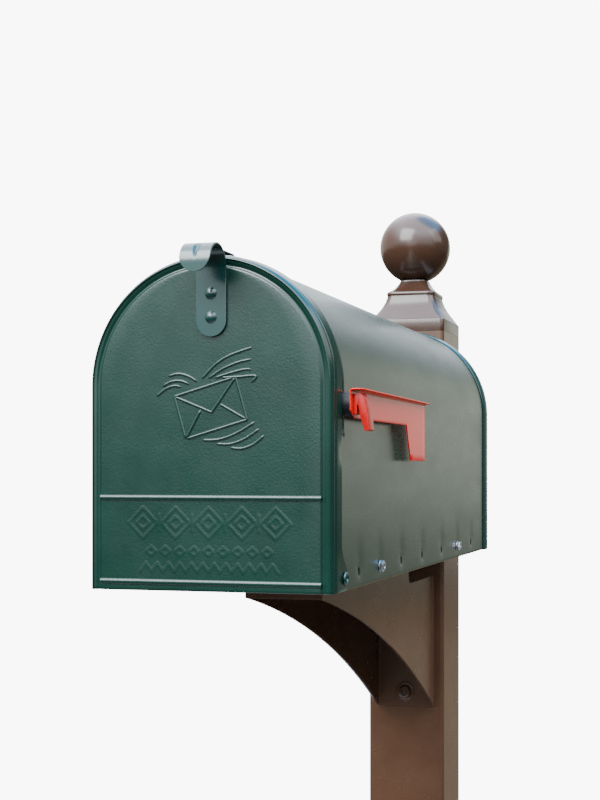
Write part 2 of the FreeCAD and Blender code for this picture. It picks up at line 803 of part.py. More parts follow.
def make_bracket():
    body = new_body("bracket")
    thick = size("bracket_sheet")
    half = size("bracket_width") / 2
    front, rear = size("bracket_front"), post_face
    lip = (front, -size("bracket_lip"))
    waist = (size("bracket_waist_back"), -size("bracket_waist_drop"))
    heel = (rear, -size("bracket_drop"))
    centre = arc_centre(lip, waist, heel)
    bend = size("bracket_bend")
    outside = rear_rounded(half, front, rear, bend)
    inside = rear_rounded(half - thick, front + thick, rear - thick, bend - thick)
    extrude(body, "walls", "XY_Plane", -size("bracket_drop"), 0, [outside, inside])
    extrude(body, "top", "XY_Plane", -thick, 0, [outside])
    below = -size("bracket_drop") - thick
    under = [lip, (heel[0], heel[1], centre[0], centre[1], -1), (rear, below), (front, below)]
    extrude(body, "curve", "YZ_Plane", -half, half, [under], cut=True)
    notch, drop, corner = size("notch_back"), size("notch_drop"), size("notch_corner")
    opening = [
        (notch, thick), (notch, corner - drop),
        (notch + corner, -drop, notch + corner, corner - drop, 1),
        (rear + thick, -drop), (rear + thick, thick),
    ]
    extrude(body, "notch", "YZ_Plane", -half, half, [opening], cut=True)
    holes = [(0, -size("lag_" + row), size("lag_shank") + size("running_gap")) for row in ("low", "high")]
    holes += [(sign * size("spare_hole_out"), -size("lag_low"), size("spare_hole")) for sign in (1, -1)]
    extrude(body, "post_holes", "XZ_Plane", rear - thick, rear, holes, cut=True)
    shank = size("wood_screw_shank") + size("running_gap")
    holes = [(sign * size("wood_screw_out"), size("wood_screw_" + row), shank)
             for sign in (1, -1) for row in ("front", "rear")]
    extrude(body, "board_holes", "XY_Plane", -thick, 0, holes, cut=True)
    lags, washers = [], []
    for row in ("low", "high"):
        seat = (0, rear - thick, -size("lag_" + row))
        name = "lag_" + row
        washer = size("lag_washer_sheet")
        lags.append(fuse(name, [
            disc(name + "_rod", "front", seat, -size("lag_length"), washer + size("lag_head_rise") / 2,
                 size("lag_shank")),
            hexagon(name + "_hex", "front", seat, washer, washer + size("lag_head_rise"),
                    size("lag_head") * HEX_CORNER),
        ]))
        ring = disc(name + "_ring", "front", seat, 0, washer, size("lag_washer"))
        eye = disc(name + "_eye", "front", seat, -washer, 2 * washer, size("lag_shank") + size("running_gap"))
        washers.append(subtract(name + "_washer", ring, eye))
    group("bracket_post_screws", lags)
    group("bracket_post_washers", washers)
    screws = []
    for side_name, sign in (("right", 1), ("left", -1)):
        for row in ("front", "rear"):
            name = "wood_screw_%s_%s" % (side_name, row)
            seat = (sign * size("wood_screw_out"), size("wood_screw_" + row), -thick)
            rise = size("wood_screw_head_rise")
            screws.append(fuse(name, [
                disc(name + "_rod", "down", seat, -size("wood_screw_length"), rise / 4, size("wood_screw_shank")),
                dome(name + "_dome", "down", seat, 0, size("wood_screw_head"), rise),
            ]))
    group("bracket_board_screws", screws)


# --- post, cap and finial ----------------------------------------------------------------
def make_post():
    body = new_body("post_tube")
    half = size("post_side") / 2
    ground = -size("box_height")
    wall = size("post_wall")
    extrude(body, "tube", "XY_Plane", ground + size("plug_sheet"), post_top,
            [rounded_square(half, size("post_corner"), post_centre),
             rounded_square(half - wall, size("post_corner") - wall, post_centre)])
    holes = [(0, -size("lag_" + row), size("lag_shank") + size("running_gap")) for row in ("low", "high")]
    extrude(body, "screw_holes", "XZ_Plane", post_face, post_face + wall, holes, cut=True)
    plug = new_body("foot_plug")
    extrude(plug, "flange", "XY_Plane", ground, ground + size("plug_sheet"),
            [rounded_square(half, size("post_corner"), post_centre)])
    inner = half - wall - size("plug_gap")
    extrude(plug, "spigot", "XY_Plane", ground + size("plug_sheet"), ground + size("plug_depth"),
            [rounded_square(inner, size("post_corner") - wall, post_centre),
             rounded_square(inner - 2 * wall, size("post_corner") - wall, post_centre)])


def make_cap():
    body = new_body("post_cap")
    half = size("post_side") / 2
    corner = size("post_corner") / 2
    wall = size("cap_wall")
    extrude(body, "band", "XY_Plane", post_top, post_top + size("cap_band"),
            [rounded_square(half, size("post_corner"), post_centre)])
    steps = [(half, size("cap_band"))]
    steps += [(size("step_half_" + step), size("step_rise_" + step)) for step in CAP_STEPS]
    neck = [(size("collar_half"), size("collar_rise")), (size("neck_half"), size("neck_rise"))]
    for name, rings in (("curve", steps), ("shoulder", neck)):
        sketches = [
            draw(body, "%s_ring_%d" % (name, index), "XY_Plane", post_top + rise,
                 [rounded_square(wide, corner, post_centre)])
            for index, (wide, rise) in enumerate(rings)
        ]
        doc.recompute()
        loft = body.newObject("PartDesign::AdditiveLoft", name)
        loft.Profile = sketches[0]
        loft.Sections = sketches[1:]
        loft.Ruled = True
        doc.recompute()
    extrude(body, "collar", "XY_Plane", post_top + size("step_rise_d"), post_top + size("collar_rise"),
            [rounded_square(size("collar_half"), corner, post_centre)])
    inner = half - size("post_wall") - size("cap_spigot_gap")
    extrude(body, "spigot", "XY_Plane", post_top - size("cap_spigot"), post_top,
            [rounded_square(inner, corner, post_centre)])
    extrude(body, "hollow", "XY_Plane", post_top - size("cap_spigot"), post_top + size("cap_band"),
            [rounded_square(inner - wall, corner, post_centre)], cut=True)
    extrude(body, "stud_hole", "XY_Plane", post_top, post_top + size("ball_rise"),
            [(0, post_centre, size("stud_radius") + size("running_gap"))], cut=True)


def make_finial():
    body = new_body("finial_ball")
    foot = post_top + size("neck_rise")
    ball, neck = size("ball_radius"), size("ball_stem")
    centre = post_top + size("ball_rise")
    stem = centre - root(ball * ball - neck * neck)
    bore = size("stud_radius") + size("running_gap")
    depth = foot + size("stud_depth")
    sketch = draw(body, "half_outline", "XZ_Plane", post_centre, [[
        (bore, foot), (neck, foot), (neck, stem), (0, centre + ball, 0, centre, 1), (0, depth), (bore, depth),
    ]])
    turned = body.newObject("PartDesign::Revolution", "turned")
    turned.Profile = sketch
    turned.ReferenceAxis = (sketch, ["V_Axis"])
    turned.Angle = 360
    doc.recompute()
    seat = (0, post_centre, post_top + size("cap_band"))
    thick, nut = size("stud_washer_sheet"), size("stud_nut_rise")
    around = size("stud_radius") + size("running_gap")
    rod = disc("stud_rod", "up", seat, -thick - nut - thick,
               foot + size("stud_depth") - size("face_gap") - seat[2], size("stud_radius"))
    group("finial_stud", [rod])
    nut_body = hexagon("nut_body", "down", seat, thick, thick + nut, size("stud_nut"))
    group("finial_nut", [subtract("nut", nut_body, disc("nut_bore", "down", seat, 0, 2 * nut, around))])
    ring_body = disc("ring_body", "down", seat, 0, thick, size("stud_washer"))
    ring_bore = disc("ring_bore", "down", seat, -thick, 2 * thick, around)
    group("finial_washer", [subtract("stud_ring", ring_body, ring_bore)])


for build in (make_shell, make_rear_panel, make_floor_pan, make_door, make_door_handle, make_door_rivets,
              make_roof_catch, make_flag, make_finger_tab, make_flag_pivot, make_board, make_bracket,
              make_post, make_cap, make_finial):
    build()
doc.recompute()

# --- check and write ---------------------------------------------------------------------
for thing in doc.Objects:
    if "Invalid" in thing.State or "Error" in thing.State:
        raise RuntimeError("%s (%s) failed: %s" % (thing.Label, thing.TypeId, thing.State))
sub_parts = [thing for thing in doc.Objects if thing.TypeId in ("PartDesign::Body", "Part::Compound")]
for thing in sub_parts:
    if thing.Shape.isNull() or not thing.Shape.isValid():
        raise RuntimeError("%s has no valid shape" % thing.Label)
for thing in sub_parts:
    thing.Shape.exportStep("parts/%s.step" % thing.Label)
    print("%-24s %2d solids %12.1f mm3" % (thing.Label, len(thing.Shape.Solids), thing.Shape.Volume))
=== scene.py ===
"""A steel post box on a bracket, in front of a square post with a ball finial."""
import logging
import math
from dataclasses import dataclass, field
from enum import Enum
from typing import Iterable, Optional, Sequence

import bmesh
import bpy
from mathutils import Matrix, Vector


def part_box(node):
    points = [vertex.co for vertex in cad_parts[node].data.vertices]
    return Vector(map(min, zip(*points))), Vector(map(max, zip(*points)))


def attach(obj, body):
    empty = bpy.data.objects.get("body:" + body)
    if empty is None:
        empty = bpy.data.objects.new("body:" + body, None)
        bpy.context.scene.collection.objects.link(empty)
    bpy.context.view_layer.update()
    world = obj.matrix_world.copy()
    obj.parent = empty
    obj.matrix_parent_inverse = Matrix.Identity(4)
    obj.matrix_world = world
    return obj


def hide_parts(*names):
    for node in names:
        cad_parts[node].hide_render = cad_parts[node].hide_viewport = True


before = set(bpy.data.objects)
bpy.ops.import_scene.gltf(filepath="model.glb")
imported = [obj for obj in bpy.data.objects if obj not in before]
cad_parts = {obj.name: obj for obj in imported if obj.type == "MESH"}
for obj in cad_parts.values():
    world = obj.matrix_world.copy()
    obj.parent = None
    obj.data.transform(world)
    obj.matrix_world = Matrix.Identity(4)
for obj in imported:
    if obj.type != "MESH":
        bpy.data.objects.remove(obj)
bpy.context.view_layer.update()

log = logging.getLogger("post_box")

MM = 0.001                    # the pieces below are drawn in millimetres
WELD = 2e-6                   # metres within which two points of a mesh are one
SHARP = math.radians(34)      # a fold sharper than this stays a crisp edge
NEAR = 0.05                   # millimetres within which two grid lines are one
RIB_TIP = 0.25                # least share of a pressed rib's radius, at its ends
RIB_SIDES = 14

Point = tuple[float, float, float]
Flat = tuple[float, float]
Span = tuple[float, float]    # a lower and an upper value
Colour = tuple[float, float, float]


class Body(Enum):
    """The bodies that pieces ride on."""

    ROOT = "root"
    DOOR = "door_leaf"
    FLAG = "signal_flag"


# --- where things stand ------------------------------------------------------------------
@dataclass(frozen=True)
class Site:
    """Where the box and its post stand, in metres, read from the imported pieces."""

    door_face: float
    skirt_foot: float
    post_centre: float
    post_top: float

    @classmethod
    def read(cls) -> "Site":
        """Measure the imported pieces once."""
        low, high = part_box("post_tube")
        return cls(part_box("door")[0].y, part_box("shell")[0].z, (low.y + high.y) / 2, high.z)

    def box(self) -> Matrix:
        """Matrix from the box's millimetres: X right, Y back from the door's face, Z up."""
        return Matrix.Translation((0.0, self.door_face, self.skirt_foot)) @ Matrix.Scale(MM, 4)

    def post(self) -> Matrix:
        """Matrix from millimetres above the middle of the post's top."""
        return Matrix.Translation((0.0, self.post_centre, self.post_top)) @ Matrix.Scale(MM, 4)


# --- meshes ------------------------------------------------------------------------------
class Mould:
    """A surface made of grids of points, in millimetres, welded where they meet."""

    def __init__(self, name: str) -> None:
        """Start an empty surface with the name of its piece.

        Args:
            name: Name of the piece.
        """
        self.name = name
        self.points: list[Point] = []
        self.faces: list[tuple[int, ...]] = []

    def grid(self, rows: Sequence[Sequence[Point]], ring: bool = False) -> None:
        """Add a sheet of quads.

        Args:
            rows: Lines of points, all of one length.
            ring: Whether each line closes on itself.
        """
        start = len(self.points)
        wide = len(rows[0])
        for row in rows:
            self.points.extend(row)
        for line in range(len(rows) - 1):
            for step in range(wide if ring else wide - 1):
                here = start + line * wide + step
                beside = start + line * wide + (step + 1) % wide
                self.faces.append((here, beside, beside + wide, here + wide))

    def fill(self, loop: Sequence[Point]) -> None:
        """Close a flat loop of points with one face.

        Args:
            loop: The points in order.
        """
        start = len(self.points)
        self.points.extend(loop)
        self.faces.append(tuple(range(start, start + len(loop))))

    def mesh(self, matrix: Matrix, inside: Optional[Point] = None) -> bpy.types.Mesh:
        """Make the mesh.

        Args:
            matrix: Turns the millimetres into the part's metres.
            inside: A point behind an open sheet, which its faces then look away from.

        Returns:
            A welded mesh whose faces point outwards.
        """
        made = bpy.data.meshes.new(self.name)
        made.from_pydata([matrix @ Vector(point) for point in self.points], [], self.faces)
        edit = bmesh.new()
        edit.from_mesh(made)
        bmesh.ops.remove_doubles(edit, verts=edit.verts, dist=WELD)
        bmesh.ops.dissolve_degenerate(edit, edges=edit.edges, dist=WELD)
        bmesh.ops.recalc_face_normals(edit, faces=edit.faces)
        if inside is not None:
            middle = matrix @ Vector(inside)
            facing = sum((face.calc_center_median() - middle).dot(face.normal) * face.calc_area()
                         for face in edit.faces)
            if facing < 0:
                bmesh.ops.reverse_faces(edit, faces=edit.faces)
        edit.to_mesh(made)
        edit.free()
        return made

    def piece(self, matrix: Matrix, inside: Optional[Point] = None) -> bpy.types.Object:
        """Make the mesh and put it in the scene under the mould's name."""
        return stand(self.name, self.mesh(matrix, inside))


def soften(mesh: bpy.types.Mesh) -> bpy.types.Mesh:
    """Shade a mesh smooth up to its folds.

    Args:
        mesh: The mesh.

    Returns:
        The same mesh.
    """
    mesh.shade_smooth()
    mesh.set_sharp_from_angle(angle=SHARP)
    return mesh


def stand(name: str, mesh: bpy.types.Mesh) -> bpy.types.Object:
    """Put a mesh in the scene as an object at the origin.

    Args:
        name: Name of the object.
        mesh: Its mesh, already in place.

    Returns:
        The object.
    """
    made = bpy.data.objects.new(name, mesh)
    bpy.context.scene.collection.objects.link(made)
    return made


def settle(piece: bpy.types.Object) -> bpy.types.Object:
    """Turn an object's modifiers into its plain mesh, shaded smooth.

    Args:
        piece: The object.

    Returns:
        The same object, with no modifier left.
    """
    ready = piece.evaluated_get(bpy.context.evaluated_depsgraph_get())
    mesh = bpy.data.meshes.new_from_object(ready)
    piece.modifiers.clear()
    piece.data = soften(mesh)
    return piece


def break_edges(piece: bpy.types.Object, width: float, segments: int, fold: float) -> None:
    """Bevel a piece's crisp edges.

    Args:
        piece: The piece.
        width: Width of the bevel in millimetres.
        segments: Steps across the bevel.
        fold: Degrees past which an edge counts as crisp.
    """
    edge = piece.modifiers.new("edge", "BEVEL")
    edge.width = width * MM
    edge.segments = segments
    edge.limit_method = "ANGLE"
    edge.angle_limit = math.radians(fold)
    edge.harden_normals = False


def thicken(piece: bpy.types.Object, thick: float, edge: float = 0.0) -> bpy.types.Object:
    """Give an open sheet its thickness.

    Args:
        piece: The sheet, whose faces point outwards.
        thick: Thickness in millimetres, which goes inwards.
        edge: Width in millimetres of the bevel on the sheet's edges.

    Returns:
        The same object with a closed mesh.
    """
    wall = piece.modifiers.new("wall", "SOLIDIFY")
    wall.thickness = thick * MM
    wall.offset = -1.0
    wall.use_even_offset = True
    wall.use_quality_normals = True
    if edge:
        break_edges(piece, edge, 2, 55)
    return settle(piece)


def spread(low: float, high: float, count: int) -> list[float]:
    """Evenly spaced values from low to high, both included."""
    return [low + (high - low) * step / (count - 1) for step in range(count)]


def merged(*groups: Iterable[float]) -> list[float]:
    """Join lists of values.

    Args:
        groups: The lists.

    Returns:
        Their values in order, with near repeats left out.
    """
    kept: list[float] = []
    for value in sorted(value for group in groups for value in group):
        if not kept or value - kept[-1] > NEAR:
            kept.append(value)
    return kept


def rounded(points: Sequence[Flat], radii: Sequence[float], steps: int = 5) -> list[Flat]:
    """Round the corners of a closed flat outline.

    Args:
        points: Corners in order.
        radii: Radius at each corner, 0 for a sharp one.
        steps: Points along each rounding.

    Returns:
        The outline's points.
    """
    outline: list[Flat] = []
    for index, (here, radius) in enumerate(zip(points, radii)):
        corner = Vector(here)
        before = (Vector(points[index - 1]) - corner).normalized()
        after = (Vector(points[(index + 1) % len(points)]) - corner).normalized()
        if radius <= 0:
            outline.append((corner.x, corner.y))
            continue
        half = before.angle(after) / 2
        reach = radius / math.tan(half)
        centre = corner + (before + after).normalized() * radius / math.sin(half)
        first = corner + before * reach - centre
        sweep = first.angle_signed(corner + after * reach - centre)
        for part in spread(0.0, 1.0, steps):
            arm = first.copy()
            arm.rotate(Matrix.Rotation(-sweep * part, 2))
            outline.append((centre.x + arm.x, centre.y + arm.y))
    return outline


def between(share: float, before: float, first: float, second: float, after: float) -> float:
    """Catmull-Rom value at a share of the way from first to second.

    Args:
        share: How far from first to second, 0 to 1.
        before: The value ahead of first.
        first: The value that the stretch starts from.
        second: The value that it ends at.
        after: The value past second.

    Returns:
        The value there.
    """
    lean = (second - before) * share
    bend = (2 * before - 5 * first + 4 * second - after) * share * share
    twist = (3 * first - before - 3 * second + after) * share ** 3
    return 0.5 * (2 * first + lean + bend + twist)


def smoothed(points: Sequence[Sequence[float]], steps: int) -> list[tuple[float, ...]]:
    """Draw a smooth curve through points of any dimension.

    Args:
        points: What the curve goes through.
        steps: Points on each stretch of it.

    Returns:
        The curve's points.
    """
    curve: list[tuple[float, ...]] = []
    last = len(points) - 1
    for index in range(last):
        around = [points[max(0, min(last, index + shift))] for shift in (-1, 0, 1, 2)]
        for step in range(steps):
            curve.append(tuple(between(step / steps, *values) for values in zip(*around)))
    curve.append(tuple(points[last]))
    return curve


@dataclass(frozen=True)
class ArchStation:
    """One place along an arched outline: a direction from a centre at some height."""

    across: float
    up: float
    rise: float

    def at(self, half: float) -> Flat:
        """X and Z of the outline that is half as wide as given, at this place."""
        return half * self.across, self.rise + half * self.up


def arch_stations(spring: float, heights: Sequence[float], turns: int) -> list[ArchStation]:
    """Stations up the left side, round the top and down the right side.

    Args:
        spring: Height where the straight sides end.
        heights: Heights on the straight sides, from the foot up, below the spring.
        turns: Number of steps round the half circle.

    Returns:
        The stations in order.
    """
    left = [ArchStation(-1.0, 0.0, height) for height in heights]
    angles = spread(0.0, math.pi, turns + 1)
    top = [ArchStation(-math.cos(angle), math.sin(angle), spring) for angle in angles]
    right = [ArchStation(1.0, 0.0, height) for height in reversed(heights)]
    return left + top + right


def across_panel(rows: Sequence[Sequence[Point]], count: int) -> list[list[Point]]:
    """Span an arch's inner edge with level lines.

    Args:
        rows: The arch's rows of points, each of which ends on the panel's edge.
        count: Points on each line.

    Returns:
        The lines, from the foot up to the top of the arch.
    """
    shares = spread(0.0, 1.0, count)
    lines = []
    for index in range(len(rows) // 2 + 1):
        ends = list(zip(rows[index][-1], rows[-1 - index][-1]))
        lines.append([tuple(left + (right - left) * share for left, right in ends) for share in shares])
    return lines


def foot_fall(height: float, radius: float) -> float:
    """How far a sheet's rounded foot falls back at a height above its lowest point."""
    short = max(0.0, radius - height)
    return radius - math.sqrt(radius * radius - short * short)


def ease(value: float, low: float, high: float) -> float:
    """0 below low, 1 above high, and a smooth rise between."""
    part = max(0.0, min(1.0, (value - low) / (high - low)))
    return part * part * (3 - 2 * part)


# --- nodes -------------------------------------------------------------------------------
def add_node(tree: bpy.types.NodeTree, kind: str, links: dict[object, object],
             settings: dict[str, object]) -> bpy.types.Node:
    """Add a node to a tree.

    Args:
        tree: The tree.
        kind: The node's type.
        links: Input names or numbers, with the socket or the value that each gets.
        settings: Properties of the node, which are set before its inputs.

    Returns:
        The node.
    """
    made = tree.nodes.new(kind)
    for key, value in settings.items():
        setattr(made, key, value)
    for key, value in links.items():
        if isinstance(value, bpy.types.NodeSocket):
            tree.links.new(value, made.inputs[key])
        else:
            made.inputs[key].default_value = value
    return made


def tint(value: object) -> object:
    """A socket as it is, or a colour with the alpha that a node's input wants."""
    return value if isinstance(value, bpy.types.NodeSocket) else (*value, 1.0)
class Tree:
    """A Geometry Nodes tree with named inputs, which ends in plain geometry."""

    def __init__(self, name: str) -> None:
        """Start a tree with its geometry input and output.

        Args:
            name: Name of the tree.
        """
        self.group = bpy.data.node_groups.new(name, "GeometryNodeTree")
        self.group.interface.new_socket("Geometry", in_out="OUTPUT", socket_type="NodeSocketGeometry")
        self.group.interface.new_socket("Geometry", in_out="INPUT", socket_type="NodeSocketGeometry")
        self.group.interface.new_socket("Material", in_out="INPUT", socket_type="NodeSocketMaterial")
        self.entry = self.group.nodes.new("NodeGroupInput")

    def add_input(self, name: str, kind: str) -> bpy.types.NodeSocket:
        """Add a named input and return where it comes out."""
        self.group.interface.new_socket(name, in_out="INPUT", socket_type=kind)
        return self.entry.outputs[name]

    def node(self, kind: str, links: dict[object, object], **settings: object) -> bpy.types.Node:
        """Add a node with its settings, and link or set its inputs."""
        return add_node(self.group, kind, links, settings)

    def reckon(self, operation: str, first: object, second: object,
               clamp: bool = False) -> bpy.types.NodeSocket:
        """The result of a sum on two numbers."""
        made = self.node("ShaderNodeMath", {0: first, 1: second}, operation=operation, use_clamp=clamp)
        return made.outputs[0]

    def close(self, shape: bpy.types.NodeSocket) -> None:
        """End the tree: real geometry, dressed in the material.

        Args:
            shape: The geometry.
        """
        real = self.node("GeometryNodeRealizeInstances", {"Geometry": shape})
        dressed = self.node("GeometryNodeSetMaterial",
                            {"Geometry": real.outputs[0], "Material": self.entry.outputs["Material"]})
        exit_node = self.group.nodes.new("NodeGroupOutput")
        self.group.links.new(dressed.outputs[0], exit_node.inputs[0])

    def grow(self, name: str, seed: bpy.types.Mesh, **values: object) -> bpy.types.Mesh:
        """Run the tree.

        Args:
            name: Name of the mesh.
            seed: What the tree starts from.
            values: Value of each named input.

        Returns:
            The result as a plain mesh.
        """
        holder = stand(name + "_seed", seed)
        modifier = holder.modifiers.new("grow", "NODES")
        modifier.node_group = self.group
        for item in self.group.interface.items_tree:
            if item.in_out == "INPUT" and item.name in values:
                modifier[item.identifier] = values[item.name]
        ready = holder.evaluated_get(bpy.context.evaluated_depsgraph_get())
        mesh = bpy.data.meshes.new_from_object(ready)
        mesh.name = name
        holder.modifiers.clear()
        bpy.data.objects.remove(holder)
        return mesh


def rib_tree() -> Tree:
    """Pressed ribs: a round bead along every line of the seed, thinning to its ends.

    Returns:
        The tree, with the inputs Radius, Taper and Step, all lengths.
    """
    tree = Tree("pressed_ribs")
    radius = tree.add_input("Radius", "NodeSocketFloat")
    taper = tree.add_input("Taper", "NodeSocketFloat")
    step = tree.add_input("Step", "NodeSocketFloat")
    line = tree.node("GeometryNodeMeshToCurve", {"Mesh": tree.entry.outputs["Geometry"]})
    even = tree.node("GeometryNodeResampleCurve", {"Curve": line.outputs[0], "Length": step}, mode="LENGTH")
    along = tree.node("GeometryNodeSplineParameter", {}).outputs["Length"]
    whole = tree.node("GeometryNodeSplineLength", {}).outputs[0]
    nearest = tree.reckon("MINIMUM", tree.reckon("SUBTRACT", whole, along), along)
    share = tree.reckon("DIVIDE", nearest, taper, clamp=True)
    swell = tree.reckon("MAXIMUM", tree.reckon("POWER", share, 0.5), RIB_TIP)
    profile = tree.node("GeometryNodeCurvePrimitiveCircle", {"Resolution": RIB_SIDES, "Radius": radius})
    bead = tree.node("GeometryNodeCurveToMesh", {
        "Curve": even.outputs[0], "Profile Curve": profile.outputs[0], "Scale": swell, "Fill Caps": True})
    tree.close(bead.outputs[0])
    return tree


def fastener_tree() -> Tree:
    """One head on every point of the seed, turned the way the point's facing says.

    Returns:
        The tree, with the inputs Head, an object, and Turn, an angle.
    """
    tree = Tree("fasteners")
    head = tree.add_input("Head", "NodeSocketObject")
    turn = tree.add_input("Turn", "NodeSocketFloat")
    shape = tree.node("GeometryNodeObjectInfo", {"Object": head})
    facing = tree.node("GeometryNodeInputNamedAttribute", {"Name": "facing"}, data_type="FLOAT_VECTOR")
    aim = tree.node("FunctionNodeAlignRotationToVector", {"Vector": facing.outputs["Attribute"]}, axis="Z")
    angle = tree.reckon("MULTIPLY", tree.node("GeometryNodeInputIndex", {}).outputs[0], turn)
    spin = tree.node("FunctionNodeAxisAngleToRotation", {"Angle": angle})
    both = tree.node("FunctionNodeRotateRotation", {0: aim.outputs[0], 1: spin.outputs[0]},
                     rotation_space="LOCAL")
    placed = tree.node("GeometryNodeInstanceOnPoints", {
        "Points": tree.entry.outputs["Geometry"], "Instance": shape.outputs["Geometry"],
        "Rotation": both.outputs[0]})
    tree.close(placed.outputs[0])
    return tree


# --- finishes ----------------------------------------------------------------------------
class Recipe:
    """A material's nodes under construction, on Object coordinates in metres."""

    def __init__(self, name: str) -> None:
        """Start from the plain shader.

        Args:
            name: Name of the material.
        """
        self.material = bpy.data.materials.new(name)
        self.material.use_nodes = True
        self.tree = self.material.node_tree
        self.shader = self.tree.nodes["Principled BSDF"]
        self.place = self.tree.nodes.new("ShaderNodeTexCoord").outputs["Object"]

    def set(self, **values: object) -> None:
        """Set constants on the shader's own sockets, with _ for a space in a name."""
        for name, value in values.items():
            self.shader.inputs[name.replace("_", " ")].default_value = value

    def node(self, kind: str, links: dict[object, object], **settings: object) -> bpy.types.Node:
        """Add a node with its settings, and link or set its inputs."""
        return add_node(self.tree, kind, links, settings)

    def stretched(self, scale: Point) -> bpy.types.NodeSocket:
        """The place, scaled by an amount along each axis."""
        return self.node("ShaderNodeMapping", {"Vector": self.place, "Scale": scale}).outputs[0]

    def noise(self, size: float, detail: float = 2.0, rough: float = 0.5,
              place: Optional[bpy.types.NodeSocket] = None) -> bpy.types.NodeSocket:
        """Add soft noise.

        Args:
            size: About how wide its blobs are, in millimetres.
            detail: Layers of finer noise.
            rough: Strength of the finer layers.
            place: Where it is read, if not at the plain place.

        Returns:
            The noise, about 0.5.
        """
        made = self.node("ShaderNodeTexNoise", {
            "Vector": place or self.place, "Scale": 1.0 / (size * MM), "Detail": detail, "Roughness": rough})
        return made.outputs["Fac"]

    def cells(self, pitch: float) -> bpy.types.NodeSocket:
        """Distance to the nearest of many scattered points, so many millimetres apart."""
        made = self.node("ShaderNodeTexVoronoi", {"Vector": self.place, "Scale": 1.0 / (pitch * MM)})
        return made.outputs["Distance"]

    def remap(self, value: bpy.types.NodeSocket, low: float, high: float,
              to_low: float = 0.0, to_high: float = 1.0) -> bpy.types.NodeSocket:
        """Move a range of numbers to another, clamped.

        Args:
            value: The number.
            low: Lower end of its range.
            high: Upper end of its range.
            to_low: What the lower end becomes.
            to_high: What the upper end becomes.

        Returns:
            The moved number.
        """
        made = self.node("ShaderNodeMapRange", {
            "Value": value, "From Min": low, "From Max": high, "To Min": to_low, "To Max": to_high})
        return made.outputs["Result"]

    def blend(self, share: bpy.types.NodeSocket, first: object, second: object) -> bpy.types.NodeSocket:
        """Mix two colours by a share."""
        links = {"Factor": share, 6: tint(first), 7: tint(second)}
        return self.node("ShaderNodeMix", links, data_type="RGBA").outputs[2]

    def bump(self, height: bpy.types.NodeSocket, depth: float) -> bpy.types.NodeSocket:
        """Bump of a depth in millimetres."""
        links = {"Height": height, "Distance": depth * MM, "Strength": 1.0}
        return self.node("ShaderNodeBump", links).outputs[0]

    def wire(self, name: str, value: bpy.types.NodeSocket) -> None:
        """Feed one of the shader's inputs."""
        self.tree.links.new(value, self.shader.inputs[name])
@dataclass(frozen=True)
class SprayedPaint:
    """Baked paint on sheet steel: an orange-peel skin with faint clouds and specks."""

    name: str
    colour: Colour
    deep: Colour                  # the colour in its darker clouds
    speck: Colour
    rough: Span
    peel: Flat                    # width and depth of the orange peel, in millimetres
    specular: float = 0.5
    speck_share: float = 0.045    # size of a speck as a share of the way to the next
    speck_pitch: float = 9.0      # millimetres
    cloud_size: float = 46.0
    grain_size: float = 2.1
    rub_size: float = 30.0
    along: float = 1.0            # below 1, the clouds and peel are drawn out along Y

    def make(self) -> bpy.types.Material:
        """Build the material.

        Returns:
            The material.
        """
        recipe = Recipe(self.name)
        recipe.set(Specular_IOR_Level=self.specular, IOR=1.5)
        drawn = recipe.stretched((1.0, self.along, 1.0))
        clouds = recipe.remap(recipe.noise(self.cloud_size, 4.0, 0.6, place=drawn), 0.36, 0.66)
        grain = recipe.remap(recipe.noise(self.grain_size, 3.0, 0.6, place=drawn), 0.3, 0.7, 0.0, 0.35)
        body = recipe.blend(clouds, self.colour, self.deep)
        body = recipe.blend(grain, body, self.deep)
        specks = recipe.remap(recipe.cells(self.speck_pitch), self.speck_share * 0.6, self.speck_share,
                              0.5, 0.0)
        recipe.wire("Base Color", recipe.blend(specks, body, self.speck))
        rub = recipe.noise(self.rub_size, 4.0, 0.6, place=drawn)
        recipe.wire("Roughness", recipe.remap(rub, 0.3, 0.7, *self.rough))
        size, depth = self.peel
        recipe.wire("Normal", recipe.bump(recipe.noise(size, 2.0, 0.45, place=drawn), depth))
        return recipe.material


@dataclass(frozen=True)
class PlatedSteel:
    """Zinc plating: bright metal with a faint crystalline patchwork and light rubbing."""

    name: str
    colour: Colour
    dull: Colour
    rough: Span
    crystal: float = 1.1          # sizes in millimetres
    patch_size: float = 2.4
    grain: Flat = (0.8, 0.004)    # width and depth of the grain

    def make(self) -> bpy.types.Material:
        """Build the material.

        Returns:
            The material.
        """
        recipe = Recipe(self.name)
        recipe.set(Metallic=1.0)
        patch = recipe.remap(recipe.noise(self.patch_size, 3.0, 0.6), 0.35, 0.7)
        recipe.wire("Base Color", recipe.blend(patch, self.colour, self.dull))
        recipe.wire("Roughness", recipe.remap(recipe.cells(self.crystal), 0.0, 0.8, *self.rough))
        size, depth = self.grain
        recipe.wire("Normal", recipe.bump(recipe.noise(size, 1.0, 0.5), depth))
        return recipe.material


@dataclass(frozen=True)
class MouldedPlastic:
    """Moulded plastic: an even colour with a fine mould grain."""

    name: str
    colour: Colour
    deep: Colour
    rough: Span
    grain: Flat                   # width and depth of the mould's grain, in millimetres
    flow_size: float = 11.0
    rub_size: float = 6.0

    def make(self) -> bpy.types.Material:
        """Build the material.

        Returns:
            The material.
        """
        recipe = Recipe(self.name)
        recipe.set(Specular_IOR_Level=0.5)
        flow = recipe.remap(recipe.noise(self.flow_size, 3.0, 0.55), 0.35, 0.65)
        recipe.wire("Base Color", recipe.blend(flow, self.colour, self.deep))
        recipe.wire("Roughness", recipe.remap(recipe.noise(self.rub_size, 3.0), 0.3, 0.7, *self.rough))
        size, depth = self.grain
        recipe.wire("Normal", recipe.bump(recipe.noise(size, 2.0), depth))
        return recipe.material


